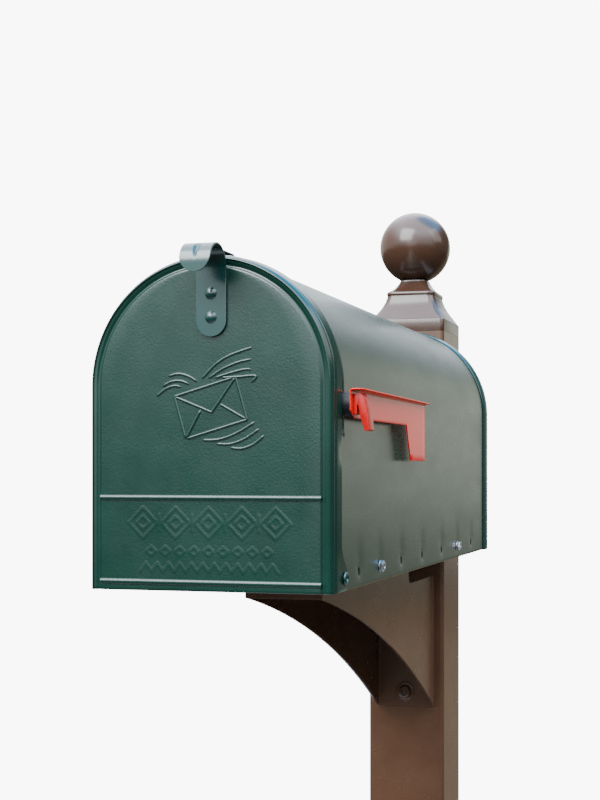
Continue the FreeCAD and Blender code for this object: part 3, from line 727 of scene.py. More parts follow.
@dataclass(frozen=True)
class SealedBoard:
    """A sealed softwood board whose grain runs along Y."""

    name: str = "sealed_board"
    light: Colour = (0.46, 0.31, 0.18)
    dark: Colour = (0.27, 0.16, 0.085)

    def make(self) -> bpy.types.Material:
        """Build the material.

        Returns:
            The material.
        """
        recipe = Recipe(self.name)
        place = recipe.stretched((1.0, 0.07, 1.0))
        bend = recipe.noise(40.0, 2.0, place=place)
        rings = recipe.node("ShaderNodeTexWave", {
            "Vector": place, "Scale": 60.0, "Distortion": 5.0, "Detail": 3.0, "Phase Offset": bend},
            wave_type="RINGS", rings_direction="Y")
        pores = recipe.noise(0.7, 2.0, place=recipe.stretched((1.0, 0.04, 1.0)))
        share = recipe.remap(rings.outputs["Fac"], 0.1, 0.95)
        body = recipe.blend(share, self.light, self.dark)
        recipe.wire("Base Color", recipe.blend(recipe.remap(pores, 0.55, 0.7, 0.0, 0.5), body, self.dark))
        recipe.wire("Roughness", recipe.remap(pores, 0.3, 0.7, 0.5, 0.68))
        recipe.wire("Normal", recipe.bump(pores, 0.08))
        return recipe.material


GREEN_SPECK: Colour = (0.20, 0.26, 0.24)


class Finish(Enum):
    """Every finish on the object, with how it is made."""

    DOOR_GREEN = SprayedPaint(
        "door_green", (0.0045, 0.031, 0.0205), (0.003, 0.024, 0.016), GREEN_SPECK,
        rough=(0.22, 0.30), peel=(1.25, 0.085), specular=0.6, speck_share=0.02)
    SHELL_GREEN = SprayedPaint(
        "shell_green", (0.016, 0.040, 0.026), (0.012, 0.032, 0.020), (0.16, 0.20, 0.17),
        rough=(0.25, 0.31), peel=(1.0, 0.020), speck_share=0.015, along=0.28)
    HANDLE_GREEN = SprayedPaint(
        "handle_green", (0.006, 0.044, 0.039), (0.004, 0.036, 0.032), GREEN_SPECK,
        rough=(0.20, 0.27), peel=(1.1, 0.012), specular=0.85, speck_share=0.015)
    DRAWN_GREEN = SprayedPaint(
        "rim_green", (0.0045, 0.033, 0.023), (0.003, 0.026, 0.018), GREEN_SPECK,
        rough=(0.17, 0.23), peel=(1.2, 0.014), specular=0.6, speck_share=0.015)
    CAST_BRONZE = SprayedPaint(
        "cast_bronze", (0.056, 0.027, 0.017), (0.045, 0.021, 0.013), (0.18, 0.13, 0.11),
        rough=(0.18, 0.24), peel=(0.9, 0.010), specular=0.6, speck_share=0.012)
    BRONZE = SprayedPaint(
        "bronze_paint", (0.098, 0.047, 0.026), (0.080, 0.037, 0.020), (0.20, 0.15, 0.12),
        rough=(0.22, 0.28), peel=(0.9, 0.012), specular=0.6, speck_share=0.012)
    FLAG_RED = SprayedPaint(
        "flag_red", (0.80, 0.004, 0.004), (0.72, 0.004, 0.004), (0.6, 0.25, 0.22),
        rough=(0.18, 0.24), peel=(1.6, 0.008), specular=0.3, speck_share=0.012, along=0.3)
    TAB_RED = MouldedPlastic(
        "tab_red", (0.46, 0.0002, 0.0010), (0.39, 0.0002, 0.0008), rough=(0.26, 0.34), grain=(0.6, 0.006))
    ZINC = PlatedSteel("zinc_plate", (0.50, 0.52, 0.54), (0.38, 0.40, 0.42), rough=(0.26, 0.40))
    TIMBER = SealedBoard()
    NYLON = MouldedPlastic(
        "nylon", (0.016, 0.017, 0.017), (0.012, 0.013, 0.013), rough=(0.42, 0.55), grain=(0.8, 0.02))
    PLUG = MouldedPlastic(
        "plug_black", (0.020, 0.020, 0.021), (0.015, 0.015, 0.016), rough=(0.5, 0.65), grain=(0.5, 0.04))


class Paintshop:
    """Makes each finish once and hands it out."""

    def __init__(self) -> None:
        """Start with nothing made."""
        self.made: dict[Finish, bpy.types.Material] = {}

    def get(self, finish: Finish) -> bpy.types.Material:
        """The material of a finish.

        Args:
            finish: The finish.

        Returns:
            Its material, made the first time it is asked for.
        """
        if finish not in self.made:
            self.made[finish] = finish.value.make()
        return self.made[finish]


# --- what every sub-assembly shares ------------------------------------------------------
@dataclass
class SubAssembly:
    """A group of pieces that are built and dressed together."""

    site: Site
    shop: Paintshop

    def fit(self, piece: bpy.types.Object, finish: Finish, body: Body, slot: str, *nodes: str) -> None:
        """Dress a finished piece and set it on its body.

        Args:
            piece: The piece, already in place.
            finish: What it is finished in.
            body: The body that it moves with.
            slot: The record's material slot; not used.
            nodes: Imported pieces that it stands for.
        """
        piece.data.materials.clear()
        piece.data.materials.append(self.shop.get(finish))
        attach(piece, body.value)
        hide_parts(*nodes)
        log.info("%s: %d faces on %s", piece.name, len(piece.data.polygons), body.value)

    def dress(self, node: str, finish: Finish) -> None:
        """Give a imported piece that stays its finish.

        Args:
            node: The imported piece.
            finish: What it is finished in.
        """
        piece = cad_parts[node]
        piece.data.materials.clear()
        piece.data.materials.append(self.shop.get(finish))
        log.info("%s keeps its shape, in %s", node, finish.value.name)


# --- fasteners ---------------------------------------------------------------------------
@dataclass(frozen=True)
class Ring:
    """One ring of a turned shape: its radius, its height and how hexagonal it is."""

    radius: float
    height: float
    hexed: float = 0.0


def rings_of(*rows: tuple[float, ...]) -> list[Ring]:
    """Rings from rows of a radius, a height and, where it isn't 0, how hexagonal it is."""
    return [Ring(*row) for row in rows]


def turned(name: str, rings: Sequence[Ring], segments: int = 36) -> bpy.types.Mesh:
    """Turn rings round Z.

    Args:
        name: Name of the mesh.
        rings: The outline, in millimetres, with the seat at height 0.
        segments: Faces round the shape.

    Returns:
        A closed mesh in metres.
    """
    mould = Mould(name)
    sixth = math.pi / 6
    rows = []
    for ring in rings:
        row = []
        for step in range(segments):
            angle = 2 * math.pi * step / segments
            flat = math.cos(sixth) / math.cos((angle % (math.pi / 3)) - sixth)
            radius = ring.radius * (1 + (flat - 1) * ring.hexed)
            row.append((radius * math.cos(angle), radius * math.sin(angle), ring.height))
        rows.append(row)
    mould.grid(rows, ring=True)
    return soften(mould.mesh(Matrix.Scale(MM, 4)))


def dome_rings(radius: float, rise: float, base: float, count: int = 7) -> list[Ring]:
    """Rings of a domed head.

    Args:
        radius: Radius of its edge.
        rise: Height of its crown above its edge.
        base: Height of its edge.
        count: Number of rings.

    Returns:
        The rings, from the edge to the crown.
    """
    ball = (radius * radius + rise * rise) / (2 * rise)
    top = math.asin(radius / ball)
    return [Ring(ball * math.sin(angle), base + ball * math.cos(angle) - ball + rise)
            for angle in spread(top, 0.0, count)]


def rivet(radius: float, rise: float, shank: float, grip: float) -> list[Ring]:
    """A domed rivet.

    Args:
        radius: Radius of the head.
        rise: Height of the head.
        shank: Radius of the shank.
        grip: Thickness of the sheets between its head and its tail.

    Returns:
        The rings, from the tail to the crown.
    """
    tail = radius * 0.8
    return rings_of((0, -grip - 1.0), (tail * 0.8, -grip - 0.9), (tail, -grip - 0.5), (tail, -grip),
                    (shank, -grip), (shank, 0.0), (radius - 0.1, 0.0)) + dome_rings(radius, rise, 0.0)


STRAP_RIVET = rivet(4.25, 2.4, 2.0, 2.1)
EYELET = rings_of(
    (0, -3.05), (3.2, -3.0), (3.4, -2.2), (2.4, -2.2), (2.4, 0.2), (4.2, 0.2), (4.4, 0.5), (4.25, 1.1),
    (3.8, 1.6), (3.2, 1.8), (2.7, 1.6), (2.35, 1.1), (2.2, 0.5), (1.6, 0.3), (0, 0.25))
SKIRT_SCREW = rings_of(
    (0, -20), (0.5, -19.8), (1.75, -17), (1.75, -0.1), (4.5, 0), (4.6, 0.15), (4.55, 0.45), (4.1, 0.85),
    (3.7, 0.95, 1), (4.15, 1.05, 1), (4.2, 1.3, 1), (4.2, 2.8, 1), (4.0, 3.15, 0.7), (3.4, 3.4), (2.2, 3.4),
    (1.9, 3.15), (1.7, 2.9), (0, 2.85))
POST_SCREW = rings_of(
    (0, -28), (0.8, -27.6), (4.0, -23), (4.0, 1.7), (5.6, 1.8), (6.1, 2.1), (6.2, 3.0), (6.0, 4.6),
    (5.4, 5.6), (4.6, 6.0), (4.0, 5.8), (3.8, 5.3), (3.75, 2.0), (0, 1.9))
CUP_WASHER = rings_of(
    (4.1, 0), (9.6, 0), (10.0, 0.4), (9.7, 1.2), (8.7, 1.8), (7.4, 1.75), (6.6, 1.2), (4.3, 1.1), (4.1, 0.6),
    (4.1, 0))
WOOD_SCREW = rings_of((0, -15), (2.4, -11), (2.4, -0.1), (4.7, 0)) + dome_rings(4.8, 2.6, 0)


@dataclass
class Fasteners(SubAssembly):
    """Rivets and screws: each kind turned once and set out by a tree."""

    tree: Tree = field(default_factory=fastener_tree)
    hinge_back: float = 24.5      # places are in the box's millimetres
    hinge_rise: float = 9.2
    strap_face: float = -1.2
    strap_rises: Span = (185.0, 201.0)
    skirt_rise: float = 11.0
    skirt_backs: Span = (117.0, 387.0)
    post_drops: Span = (153.4, 62.0)
    plate: float = 2.0            # thickness of the bracket's sheet
    board_across: float = 17.0
    board_backs: Span = (190.0, 395.0)
    turn: float = 0.7             # radians between one screw's hexagon and the next one's

    def set_out(self, name: str, rings: Sequence[Ring], seats: Sequence[tuple[Point, Point]],
                finish: Finish, body: Body, slot: str, turn: float = 0.0) -> None:
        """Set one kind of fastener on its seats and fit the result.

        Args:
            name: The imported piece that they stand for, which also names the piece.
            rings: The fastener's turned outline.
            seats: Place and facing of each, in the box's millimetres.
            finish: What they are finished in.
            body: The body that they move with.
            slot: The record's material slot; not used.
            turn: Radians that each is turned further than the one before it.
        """
        head = stand(name + "_head", turned(name + "_head", rings))
        seed = bpy.data.meshes.new(name + "_seats")
        matrix = self.site.box()
        seed.from_pydata([matrix @ Vector(place) for place, facing in seats], [], [])
        facings = seed.attributes.new("facing", "FLOAT_VECTOR", "POINT")
        for entry, (place, facing) in zip(facings.data, seats):
            entry.vector = facing
        mesh = self.tree.grow(name, seed, Head=head, Turn=turn, Material=self.shop.get(finish))
        bpy.data.objects.remove(head)
        self.fit(stand(name + "_set", soften(mesh)), finish, body, slot, name)

    def build(self) -> None:
        """Set out every rivet and screw that shows."""
        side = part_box("shell")[1].x / MM
        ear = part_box("door")[1].x / MM
        left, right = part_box("door_handle_rivets")
        strap = (left.x + right.x) / 2 / MM
        plate = (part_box("bracket")[1].y - self.site.door_face) / MM - self.plate
        both = (1, -1)
        self.set_out("door_handle_rivets", STRAP_RIVET,
                     [((strap, self.strap_face, height), (0, -1, 0)) for height in self.strap_rises],
                     Finish.HANDLE_GREEN, Body.DOOR, "green_rivet")
        self.set_out("door_hinge_rivets", EYELET,
                     [((sign * ear, self.hinge_back, self.hinge_rise), (sign, 0, 0)) for sign in both],
                     Finish.HANDLE_GREEN, Body.ROOT, "green_rivet")
        self.set_out("board_side_screws", SKIRT_SCREW,
                     [((sign * side, back, self.skirt_rise), (sign, 0, 0))
                      for sign in both for back in self.skirt_backs],
                     Finish.ZINC, Body.ROOT, "zinc", turn=self.turn)
        seats = [((0.0, plate, -drop), (0, -1, 0)) for drop in self.post_drops]
        self.set_out("bracket_post_screws", POST_SCREW, seats, Finish.BRONZE, Body.ROOT, "bronze")
        self.set_out("bracket_post_washers", CUP_WASHER, seats, Finish.BRONZE, Body.ROOT, "bronze")
        self.set_out("bracket_board_screws", WOOD_SCREW,
                     [((sign * self.board_across, back, -self.plate), (0, 0, -1))
                      for sign in both for back in self.board_backs],
                     Finish.ZINC, Body.ROOT, "zinc")


# --- door --------------------------------------------------------------------------------
@dataclass
class Door(SubAssembly):
    """The stamped door: rim bead, groove, flange with hinge ears, bars and pressed relief."""

    ribs: Tree = field(default_factory=rib_tree)
    half: float = 88.0            # to the outside of the rim's bead
    spring: float = 140.0
    proud: float = 0.9            # flange past the bead
    draft: float = 1.035          # how far the flange draws in from its rear edge to its front
    panel_depth: float = 0.7      # panel behind the bead's crest
    panel_half: float = 78.6
    neck: float = 86.2
    flange_front: float = 8.0
    flange_rear: float = 17.3
    flange_foot: float = 0.6
    flange_shares: tuple[float, ...] = (0.0, 0.06, 0.2, 0.4, 0.6, 0.8, 1.0)
    # Past the neck and depth, through the groove between the flange and the bead.
    neck_profile: tuple[Flat, ...] = ((0.4, 7.0), (0.1, 6.5), (0.0, 6.0), (0.0, 5.8), (0.15, 5.5), (0.6, 5.3))
    # In from the bead's outside and depth, over the bead to its crest.
    bead_profile: tuple[Flat, ...] = (
        (0.45, 5.15), (0.1, 4.8), (0.0, 4.2), (0.3, 3.2), (0.75, 2.3), (1.2, 1.5), (1.65, 0.8), (2.15, 0.22),
        (2.6, 0.03))
    bead_wide: float = 2.9
    # In from the bead's inner side and depth, through the shallow groove round the panel.
    groove_profile: tuple[Flat, ...] = (
        (0.0, 0.4), (0.12, 0.95), (0.45, 1.12), (1.6, 1.15), (2.1, 1.3), (2.7, 1.75), (3.5, 2.15), (4.3, 2.1),
        (5.0, 1.6), (5.6, 1.0))
    foot_from: int = 21           # point of the section where the foot's return starts
    ear_back: float = 24.5
    ear_rise: float = 9.2
    ear_radius: float = 8.6
    ear_start: float = 32.0
    pinch: float = 0.55           # how far the flange's edge is nipped in
    pinch_low: float = 82.0       # heights between which it is
    pinch_high: float = 106.0
    pinch_run: float = 9.0
    sheet: float = 0.9
    foot_radius: float = 1.4
    foot_reach: float = 2.5       # depth to which the foot is rounded
    return_depth: float = 5.2
    bar_half: float = 80.6
    bar_rises: Span = (63.4, 6.1)
    bar_radius: float = 2.35
    bar_sunk: float = 1.2
    relief_centre: Flat = (1.5, 124.0)
    relief_tilt: float = math.radians(16)
    relief_radius: float = 1.15
    relief_sunk: float = 0.35
    rib_step: float = 0.8
    faint_area: tuple[float, float, float] = (60.0, 9.5, 60.5)    # half width, lowest and highest
    faint_proud: float = 0.17
    faint_half: float = 2.1       # half width of a faint line, to where it fades out
    faint_pitch: float = 0.8      # grid of the faint relief

    def rear_of(self, station: ArchStation) -> float:
        """Depth of the flange's rear edge, which flares into the ear near the foot.

        Args:
            station: The place along the arch.

        Returns:
            The depth there.
        """
        rise = station.rise
        if station.up or rise >= self.ear_start:
            return self.flange_rear
        widest = self.ear_back + self.ear_radius
        flare = widest + (self.flange_rear - widest) * ease(rise, self.ear_rise - 3, self.ear_start)
        if rise >= self.ear_rise:
            return flare
        below = min(self.ear_radius, self.ear_rise - max(rise, self.flange_foot))
        return min(self.ear_back + math.sqrt(self.ear_radius ** 2 - below ** 2), flare)

    def section(self, station: ArchStation) -> list[Flat]:
        """Outline of the rim at a place along the arch.

        Args:
            station: The place.

        Returns:
            Half width and depth, from the flange's rear edge in to the panel's edge.
        """
        outer = self.half + self.proud
        rear = self.rear_of(station)
        front = self.flange_front + 0.9
        nip = 0.0
        if not station.up:
            nip = self.pinch * ease(station.rise, self.pinch_low, self.pinch_low + self.pinch_run) * (
                1 - ease(station.rise, self.pinch_high - self.pinch_run, self.pinch_high))
        edge = outer - self.draft
        step = self.half - self.bead_wide
        return [
            *((outer - nip * (1 - share) ** 2 - self.draft * share, rear + (front - rear) * share)
              for share in self.flange_shares),
            (edge - 0.12, self.flange_front + 0.45), (edge - 0.4, self.flange_front),
            *((self.neck + past, depth) for past, depth in self.neck_profile),
            *((self.half - inset, depth) for inset, depth in self.bead_profile),
            *((step - inset, depth) for inset, depth in self.groove_profile),
            (self.panel_half + 0.3, self.panel_depth + 0.06), (self.panel_half, self.panel_depth),
        ]

    def heights(self) -> list[float]:
        """Heights of the stations on the straight sides.

        Returns:
            The heights, from the foot up.
        """
        low = [0.0, 0.15, 0.4, 0.8, 1.4, 2.2, 3.5, 5.0, 7.0, 9.2]
        return merged(low, spread(11.0, self.ear_start, 10), spread(40.0, 80.0, 5),
                      spread(self.pinch_low, self.pinch_high, 9), spread(112.0, self.spring - 7, 3))

    def rim_row(self, station: ArchStation) -> list[Point]:
        """The section's points at a place along the arch, with the foot rounded off.

        Args:
            station: The place along the arch.

        Returns:
            The points, from the flange's rear edge in.
        """
        row = []
        for half, depth in self.section(station):
            across, rise = station.at(half)
            if depth > self.flange_front - 0.6:
                rise = max(rise, self.flange_foot)
            elif depth < self.foot_reach:
                depth += foot_fall(rise, self.foot_radius)
            row.append((across, depth, rise))
        return row

    def leaf(self) -> bpy.types.Object:
        """The door's sheet with its rim, flange and ears.

        Returns:
            The sheet, with its thickness.
        """
        mould = Mould("door_leaf_sheet")
        rows = [self.rim_row(station) for station in arch_stations(self.spring, self.heights(), 96)]
        panel = across_panel(rows, 13)
        front = rows[0][self.foot_from:] + panel[0][1:-1] + rows[-1][self.foot_from:][::-1]
        mould.grid(rows)
        mould.grid(panel)
        mould.grid([front, [(x, self.return_depth, z) for x, _, z in front]])
        return thicken(mould.piece(self.site.box(), inside=(0.0, 300.0, 100.0)), self.sheet)

    def smooth_rim(self, leaf: bpy.types.Object) -> None:
        """Give the drawn rim its own smoother paint.

        Args:
            leaf: The finished door sheet.
        """
        leaf.data.materials.append(self.shop.get(Finish.DRAWN_GREEN))
        for face in leaf.data.polygons:
            across = abs(face.center.x) / MM
            above = (face.center.z - self.site.skirt_foot) / MM - self.spring
            if math.hypot(across, max(0.0, above)) > self.panel_half + 1.0:
                face.material_index = 1

    def relief_lines(self) -> tuple[list[list[Flat]], list[list[Flat]]]:
        """The pressed ornament: straight-cornered lines and curved ones, about its own centre.

        Returns:
            The straight-cornered lines, and the points that the curved ones go through.
        """
        half, tall = 23.0, 15.0
        straight = [
            [(-half, -tall), (half, -tall), (half, tall), (-half, tall), (-half, -tall)],
            [(-half, tall), (0.0, -3.0), (half, tall)],
            [(-half, -tall), (-7.0, 1.0)],
            [(half, -tall), (7.0, 1.0)],
        ]
        curved = []
        for index in range(4):
            start, reach = 5.0 + 4.6 * index, 40.0 - 2.5 * index
            curved.append([(start - 6, tall + 5.5 - index), (start + 6, tall + 12.0 - 4.2 * index),
                           (start + 18, tall + 15.0 - 6.2 * index), (reach, tall + 15.5 - 7.6 * index)])
        for index in range(3):
            start = -9.0 - 6.0 * index
            curved.append([(start + 5, tall + 4.5), (start, tall + 10 - 1.5 * index),
                           (start - 7, tall + 14 - 3.6 * index), (start - 15, tall + 14.5 - 5.4 * index)])
        for index in range(3):
            drop = -tall - 5.5 - 5.2 * index
            curved.append([(-12.0 + 9 * index, drop + 1.5), (0.0 + 7 * index, drop - 1.5),
                           (13.0 + 5 * index, drop - 1.0), (28.0 + 2 * index, drop + 2.5)])
        return straight, curved

    def faint_lines(self) -> list[list[Flat]]:
        """Three rows of low ornament between the bars, in the box's X and Z.

        Returns:
            The lines.
        """
        lines: list[list[Flat]] = []
        for place in spread(-48.0, 48.0, 5):
            for size in (10.5, 4.5):
                lines.append([(place - size, 46.4), (place, 46.4 + size), (place + size, 46.4),
                              (place, 46.4 - size), (place - size, 46.4)])
        for place in spread(-36.0, 36.0, 4):
            lines.append([(place, 41.0), (place, 51.8)])
        for place in spread(-42.0, 42.0, 9):
            lines.append([(place - 3.4, 27.2), (place, 30.2), (place + 3.4, 27.2), (place, 24.2),
                          (place - 3.4, 27.2)])
        waves = spread(-50.0, 50.0, 25)
        lines.append([(place, 16.2 + (3.0 if index % 2 else -3.0)) for index, place in enumerate(waves)])
        return lines

    def pressed(self, lines: Sequence[Sequence[Flat]], radius: float, sunk: float, taper: float,
                name: str) -> bpy.types.Mesh:
        """Press ribs along lines on the panel.

        Args:
            lines: The lines, in the box's X and Z.
            radius: Radius of the ribs.
            sunk: How far their middles lie behind the panel's face.
            taper: Length over which each end thins.
            name: Name of the mesh.

        Returns:
            The ribs.
        """
        matrix = self.site.box()
        points: list[Vector] = []
        edges: list[tuple[int, int]] = []
        for line in lines:
            start = len(points)
            points += [matrix @ Vector((x, self.panel_depth + sunk, z)) for x, z in line]
            edges += [(start + step, start + step + 1) for step in range(len(line) - 1)]
        seed = bpy.data.meshes.new(name)
        seed.from_pydata(points, edges, [])
        return self.ribs.grow(name, seed, Radius=radius * MM, Taper=taper * MM, Step=self.rib_step * MM,
                              Material=self.shop.get(Finish.DOOR_GREEN))

    def faint_height(self, across: float, rise: float, near: Sequence[tuple[Flat, Flat]]) -> float:
        """Height of the faint relief at a place, from the lines that pass near it.

        Args:
            across: The place's X.
            rise: Its height.
            near: First and last point of each stretch of line near that height.

        Returns:
            How far the relief stands out there.
        """
        away = self.faint_half
        for (x0, z0), (x1, z1) in near:
            dx, dz = x1 - x0, z1 - z0
            share = ((across - x0) * dx + (rise - z0) * dz) / (dx * dx + dz * dz)
            share = max(0.0, min(1.0, share))
            away = min(away, math.hypot(across - x0 - share * dx, rise - z0 - share * dz))
        return self.faint_proud * (1 - ease(away, 0.3, self.faint_half))

    def faint_relief(self) -> bpy.types.Mesh:
        """A thin pressed patch in the panel, whose low soft lines just stand out of it.

        Returns:
            The patch.
        """
        pairs = [pair for line in self.faint_lines() for pair in zip(line, line[1:])]
        half, low, high = self.faint_area
        base = self.panel_depth + 0.03
        rows: list[list[Point]] = []
        for rise in spread(low, high, round((high - low) / self.faint_pitch)):
            near = [pair for pair in pairs if min(pair[0][1], pair[1][1]) - self.faint_half < rise
                    < max(pair[0][1], pair[1][1]) + self.faint_half]
            rows.append([(across, base - self.faint_height(across, rise, near), rise)
                         for across in spread(-half, half, round(2 * half / self.faint_pitch))])
        mould = Mould("faint")
        mould.grid(rows)
        patch = mould.piece(self.site.box(), inside=(0.0, 300.0, 35.0))
        mesh = thicken(patch, 0.4).data
        bpy.data.objects.remove(patch)
        return mesh

    def tilted(self, lines: Sequence[Sequence[Flat]]) -> list[list[Flat]]:
        """Lines turned by the ornament's tilt and moved to its centre.

        Args:
            lines: Lines about the ornament's own centre.

        Returns:
            The lines in the box's X and Z.
        """
        cos, sin = math.cos(self.relief_tilt), math.sin(self.relief_tilt)
        return [[(self.relief_centre[0] + x * cos - z * sin, self.relief_centre[1] + x * sin + z * cos)
                 for x, z in line] for line in lines]

    def handle(self) -> bpy.types.Object:
        """The riveted strap whose top curls over into a rounded finger pull.

        Returns:
            The strap, with its thickness.
        """
        middle, half, thick = 2.5, 10.8, 1.2
        foot, centre_y, centre_z, radius, lobe_end = 172.0, -14.6, 218.0, 14.6, 211.7
        path: list[tuple[float, float, float, float]] = []
        for rise in merged(spread(foot, foot + half, 16), spread(foot + half, centre_z, 18)):
            path.append((0.0, rise, 1.0, 0.0))
        for angle in spread(0.0, math.pi, 45)[1:]:
            path.append((centre_y + radius * math.cos(angle), centre_z + radius * math.sin(angle),
                         math.cos(angle), math.sin(angle)))
        for rise in spread(centre_z, lobe_end, 9)[1:]:
            path.append((centre_y - radius, rise, -1.0, 0.0))
        run = [0.0]
        for first, second in zip(path, path[1:]):
            run.append(run[-1] + math.dist(first[:2], second[:2]))
        mould = Mould("door_handle_strap")
        rows = []
        for place, (y, z, out_y, out_z) in zip(run, path):
            end = min(place, run[-1] - place)
            wide = math.sqrt(max(0.0, half ** 2 - max(0.0, half - end) ** 2))
            left = run[-1] - place
            row = []
            for share in spread(-1.0, 1.0, 41):
                x = share * wide
                spot = 0.5 + 2.2 * ease(left, 8.0, 19.0)
                deep = 1.5 * ease(left, 7.5, 15.0) * (1 - ease(left, 19.5, 23.0))
                press = deep * max(0.0, 1 - (x / spot) ** 2) ** 1.5
                row.append((middle + x, y - out_y * press, z - out_z * press))
            rows.append(row)
        mould.grid(rows)
        strap = mould.piece(self.site.box(), inside=(middle, centre_y, 205.0))
        return thicken(strap, thick, edge=0.18)

    def build(self) -> None:
        """Build the door, its relief and its handle."""
        leaf = self.leaf()
        straight, curved = self.relief_lines()
        smooth = [smoothed(line, 8) for line in self.tilted(curved)]
        bars = [[(-self.bar_half, rise), (self.bar_half, rise)] for rise in self.bar_rises]
        parts = [
            self.pressed(self.tilted(straight) + smooth, self.relief_radius, self.relief_sunk, 2.0, "relief"),
            self.pressed(bars, self.bar_radius, self.bar_sunk, 0.6, "bars"),
            self.faint_relief(),
        ]
        whole = bmesh.new()
        whole.from_mesh(leaf.data)
        for part in parts:
            whole.from_mesh(part)
        joined = bpy.data.meshes.new("door_leaf_sheet")
        whole.to_mesh(joined)
        whole.free()
        leaf.data = soften(joined)
        self.fit(leaf, Finish.DOOR_GREEN, Body.DOOR, "green", "door")
        self.smooth_rim(leaf)
        self.fit(self.handle(), Finish.HANDLE_GREEN, Body.DOOR, "green", "door_handle")


# --- shell, rear panel and what is under them --------------------------------------------
@dataclass
class Housing(SubAssembly):
    """The wrapped shell, the rear panel with its rolled hem, and the pieces inside."""

    half: float = 87.65
    spring: float = 139.0
    front: float = 9.5
    rear: float = 526.95
    sheet: float = 0.9
    corner: float = 9.0
    slot_backs: tuple[float, ...] = (63.0, 117.0, 180.0, 249.0, 322.0, 387.0, 452.0)
    slot_rise: float = 11.0
    slot_half: float = 2.3
    slot_tall: float = 3.1
    slot_sunk: float = 0.12       # how far a slot's edge is pressed in
    block_half: float = 3.8       # half size along Y of the patch round a slot
    block_tall: float = 4.4
    dent_depth: float = 0.55
    dent_rise: float = 5.0        # the dent's middle above the slot's
    neck_depth: float = 4.2       # the shell steps in behind the door's flange
    neck_back: float = 25.4
    neck_low: float = 104.0
    neck_run: float = 9.0
    notch_back: float = 40.0
    notch_rise: float = 1.5
    length: float = 528.0
    hem_outer: float = 90.45
    hem_depth: float = 17.0
    # In from the hem's outside and back from its lip.
    hem_profile: tuple[Flat, ...] = (
        (2.0, 0.35), (1.5, 1.3), (1.0, 2.7), (0.5, 4.7), (0.15, 7.2), (0.0, 10.0), (0.1, 12.4), (0.4, 14.2),
        (1.0, 15.7), (1.8, 16.6), (2.8, 17.0))
    # Half width and back from the rear face, over the stiffening bead.
    bead_profile: tuple[Flat, ...] = (
        (80.0, 0.0), (79.0, 0.15), (78.0, 0.6), (77.0, 1.05), (76.0, 1.2), (75.0, 1.05), (74.0, 0.6),
        (73.0, 0.15), (72.0, 0.0), (70.0, 0.0))

    def neck(self, back: float, station: ArchStation) -> float:
        """How far the shell steps in at a place near its front edge."""
        share = 1.0 if station.up else ease(station.rise, self.neck_low, self.neck_low + self.neck_run)
        return self.neck_depth * share * (1 - ease(back, self.neck_back, self.neck_back + 1.1))

    def dent(self, back: float, rise: float) -> float:
        """How far the skirt is pulled in round its slots at a place.

        Args:
            back: The place's depth.
            rise: Its height.

        Returns:
            The pull there.
        """
        tall = 13.0 if rise > self.slot_rise + self.dent_rise else 9.0
        up = ((rise - self.slot_rise - self.dent_rise) / tall) ** 2
        return sum(self.dent_depth * math.exp(-(((back - slot) / 9.0) ** 2 + up)) for slot in self.slot_backs)

    def skin(self, station: ArchStation, back: float) -> Point:
        """A point of the shell's outside.

        Args:
            station: The place along the arch.
            back: Its depth.

        Returns:
            The point.
        """
        inward = self.neck(back, station)
        rise = station.rise
        if not station.up:
            inward += self.dent(back, rise) + 0.5 * foot_fall(rise, 1.2)
        across, height = station.at(self.half - inward)
        if not station.up and rise < 0.01 and abs(back - self.notch_back) < 0.1:
            height += self.notch_rise
        return across, back, height

    def start_of(self, station: ArchStation) -> float:
        """Depth of the shell's front edge, which rounds off at the skirt's corner.

        Args:
            station: The place along the arch.

        Returns:
            The depth there.
        """
        if station.up:
            return self.front
        short = max(0.0, self.corner - station.rise)
        return self.front + self.corner - math.sqrt(self.corner ** 2 - short ** 2)

    def grid_backs(self, cells: Sequence[float]) -> list[float]:
        """Depths of the shell's grid lines, closer at its front edge, notch and slots.

        Args:
            cells: Shares of a slot's patch at which lines cross it.

        Returns:
            The depths, from the front back.
        """
        slots = [slot + self.block_half * cell for slot in self.slot_backs for cell in cells]
        near = [slot + away for slot in self.slot_backs for away in (-17.0, -11.0, -6.5, 6.5, 11.0, 17.0)]
        neck = [self.neck_back + 0.22 * step for step in range(6)]
        notch = [self.notch_back - 1.4, self.notch_back, self.notch_back + 1.4]
        return merged([self.front, 10.0, 11.0, 12.5, 14.5, 16.5, 18.5, 21.0, 23.5], neck, [28.0, 32.0],
                      notch, slots, near, spread(470.0, self.rear, 8))

    def shell(self) -> bpy.types.Object:
        """The wrap with its slots, necked front and rounded skirt corners.

        Returns:
            The wrap, with its thickness.
        """
        mould = Mould("shell_wrap")
        cells = (-1.0, -0.5, 0.0, 0.5, 1.0)
        backs = self.grid_backs(cells)
        slot_rises = [self.slot_rise + self.block_tall * cell for cell in cells]
        heights = merged([0.0, 0.25, 0.6, 1.2, 2.4, 4.2], slot_rises, spread(18.5, 50.0, 8),
                         spread(58.0, 98.0, 5), spread(self.neck_low, self.neck_low + self.neck_run, 7),
                         [118.0, 128.0])
        stations = arch_stations(self.spring, heights, 72)
        holes = self.slot_blocks(stations, backs)
        for station in stations:
            mould.points += [self.skin(station, max(back, self.start_of(station))) for back in backs]
        wide = len(backs)
        for line in range(len(stations) - 1):
            for step in range(wide - 1):
                here = line * wide + step
                if (line, step) not in holes:
                    mould.faces.append((here, here + 1, here + 1 + wide, here + wide))
        for side in (-1.0, 1.0):
            for slot in self.slot_backs:
                self.slot_ring(mould, side, slot)
        return thicken(mould.piece(self.site.box(), inside=(0.0, 260.0, 100.0)), self.sheet)

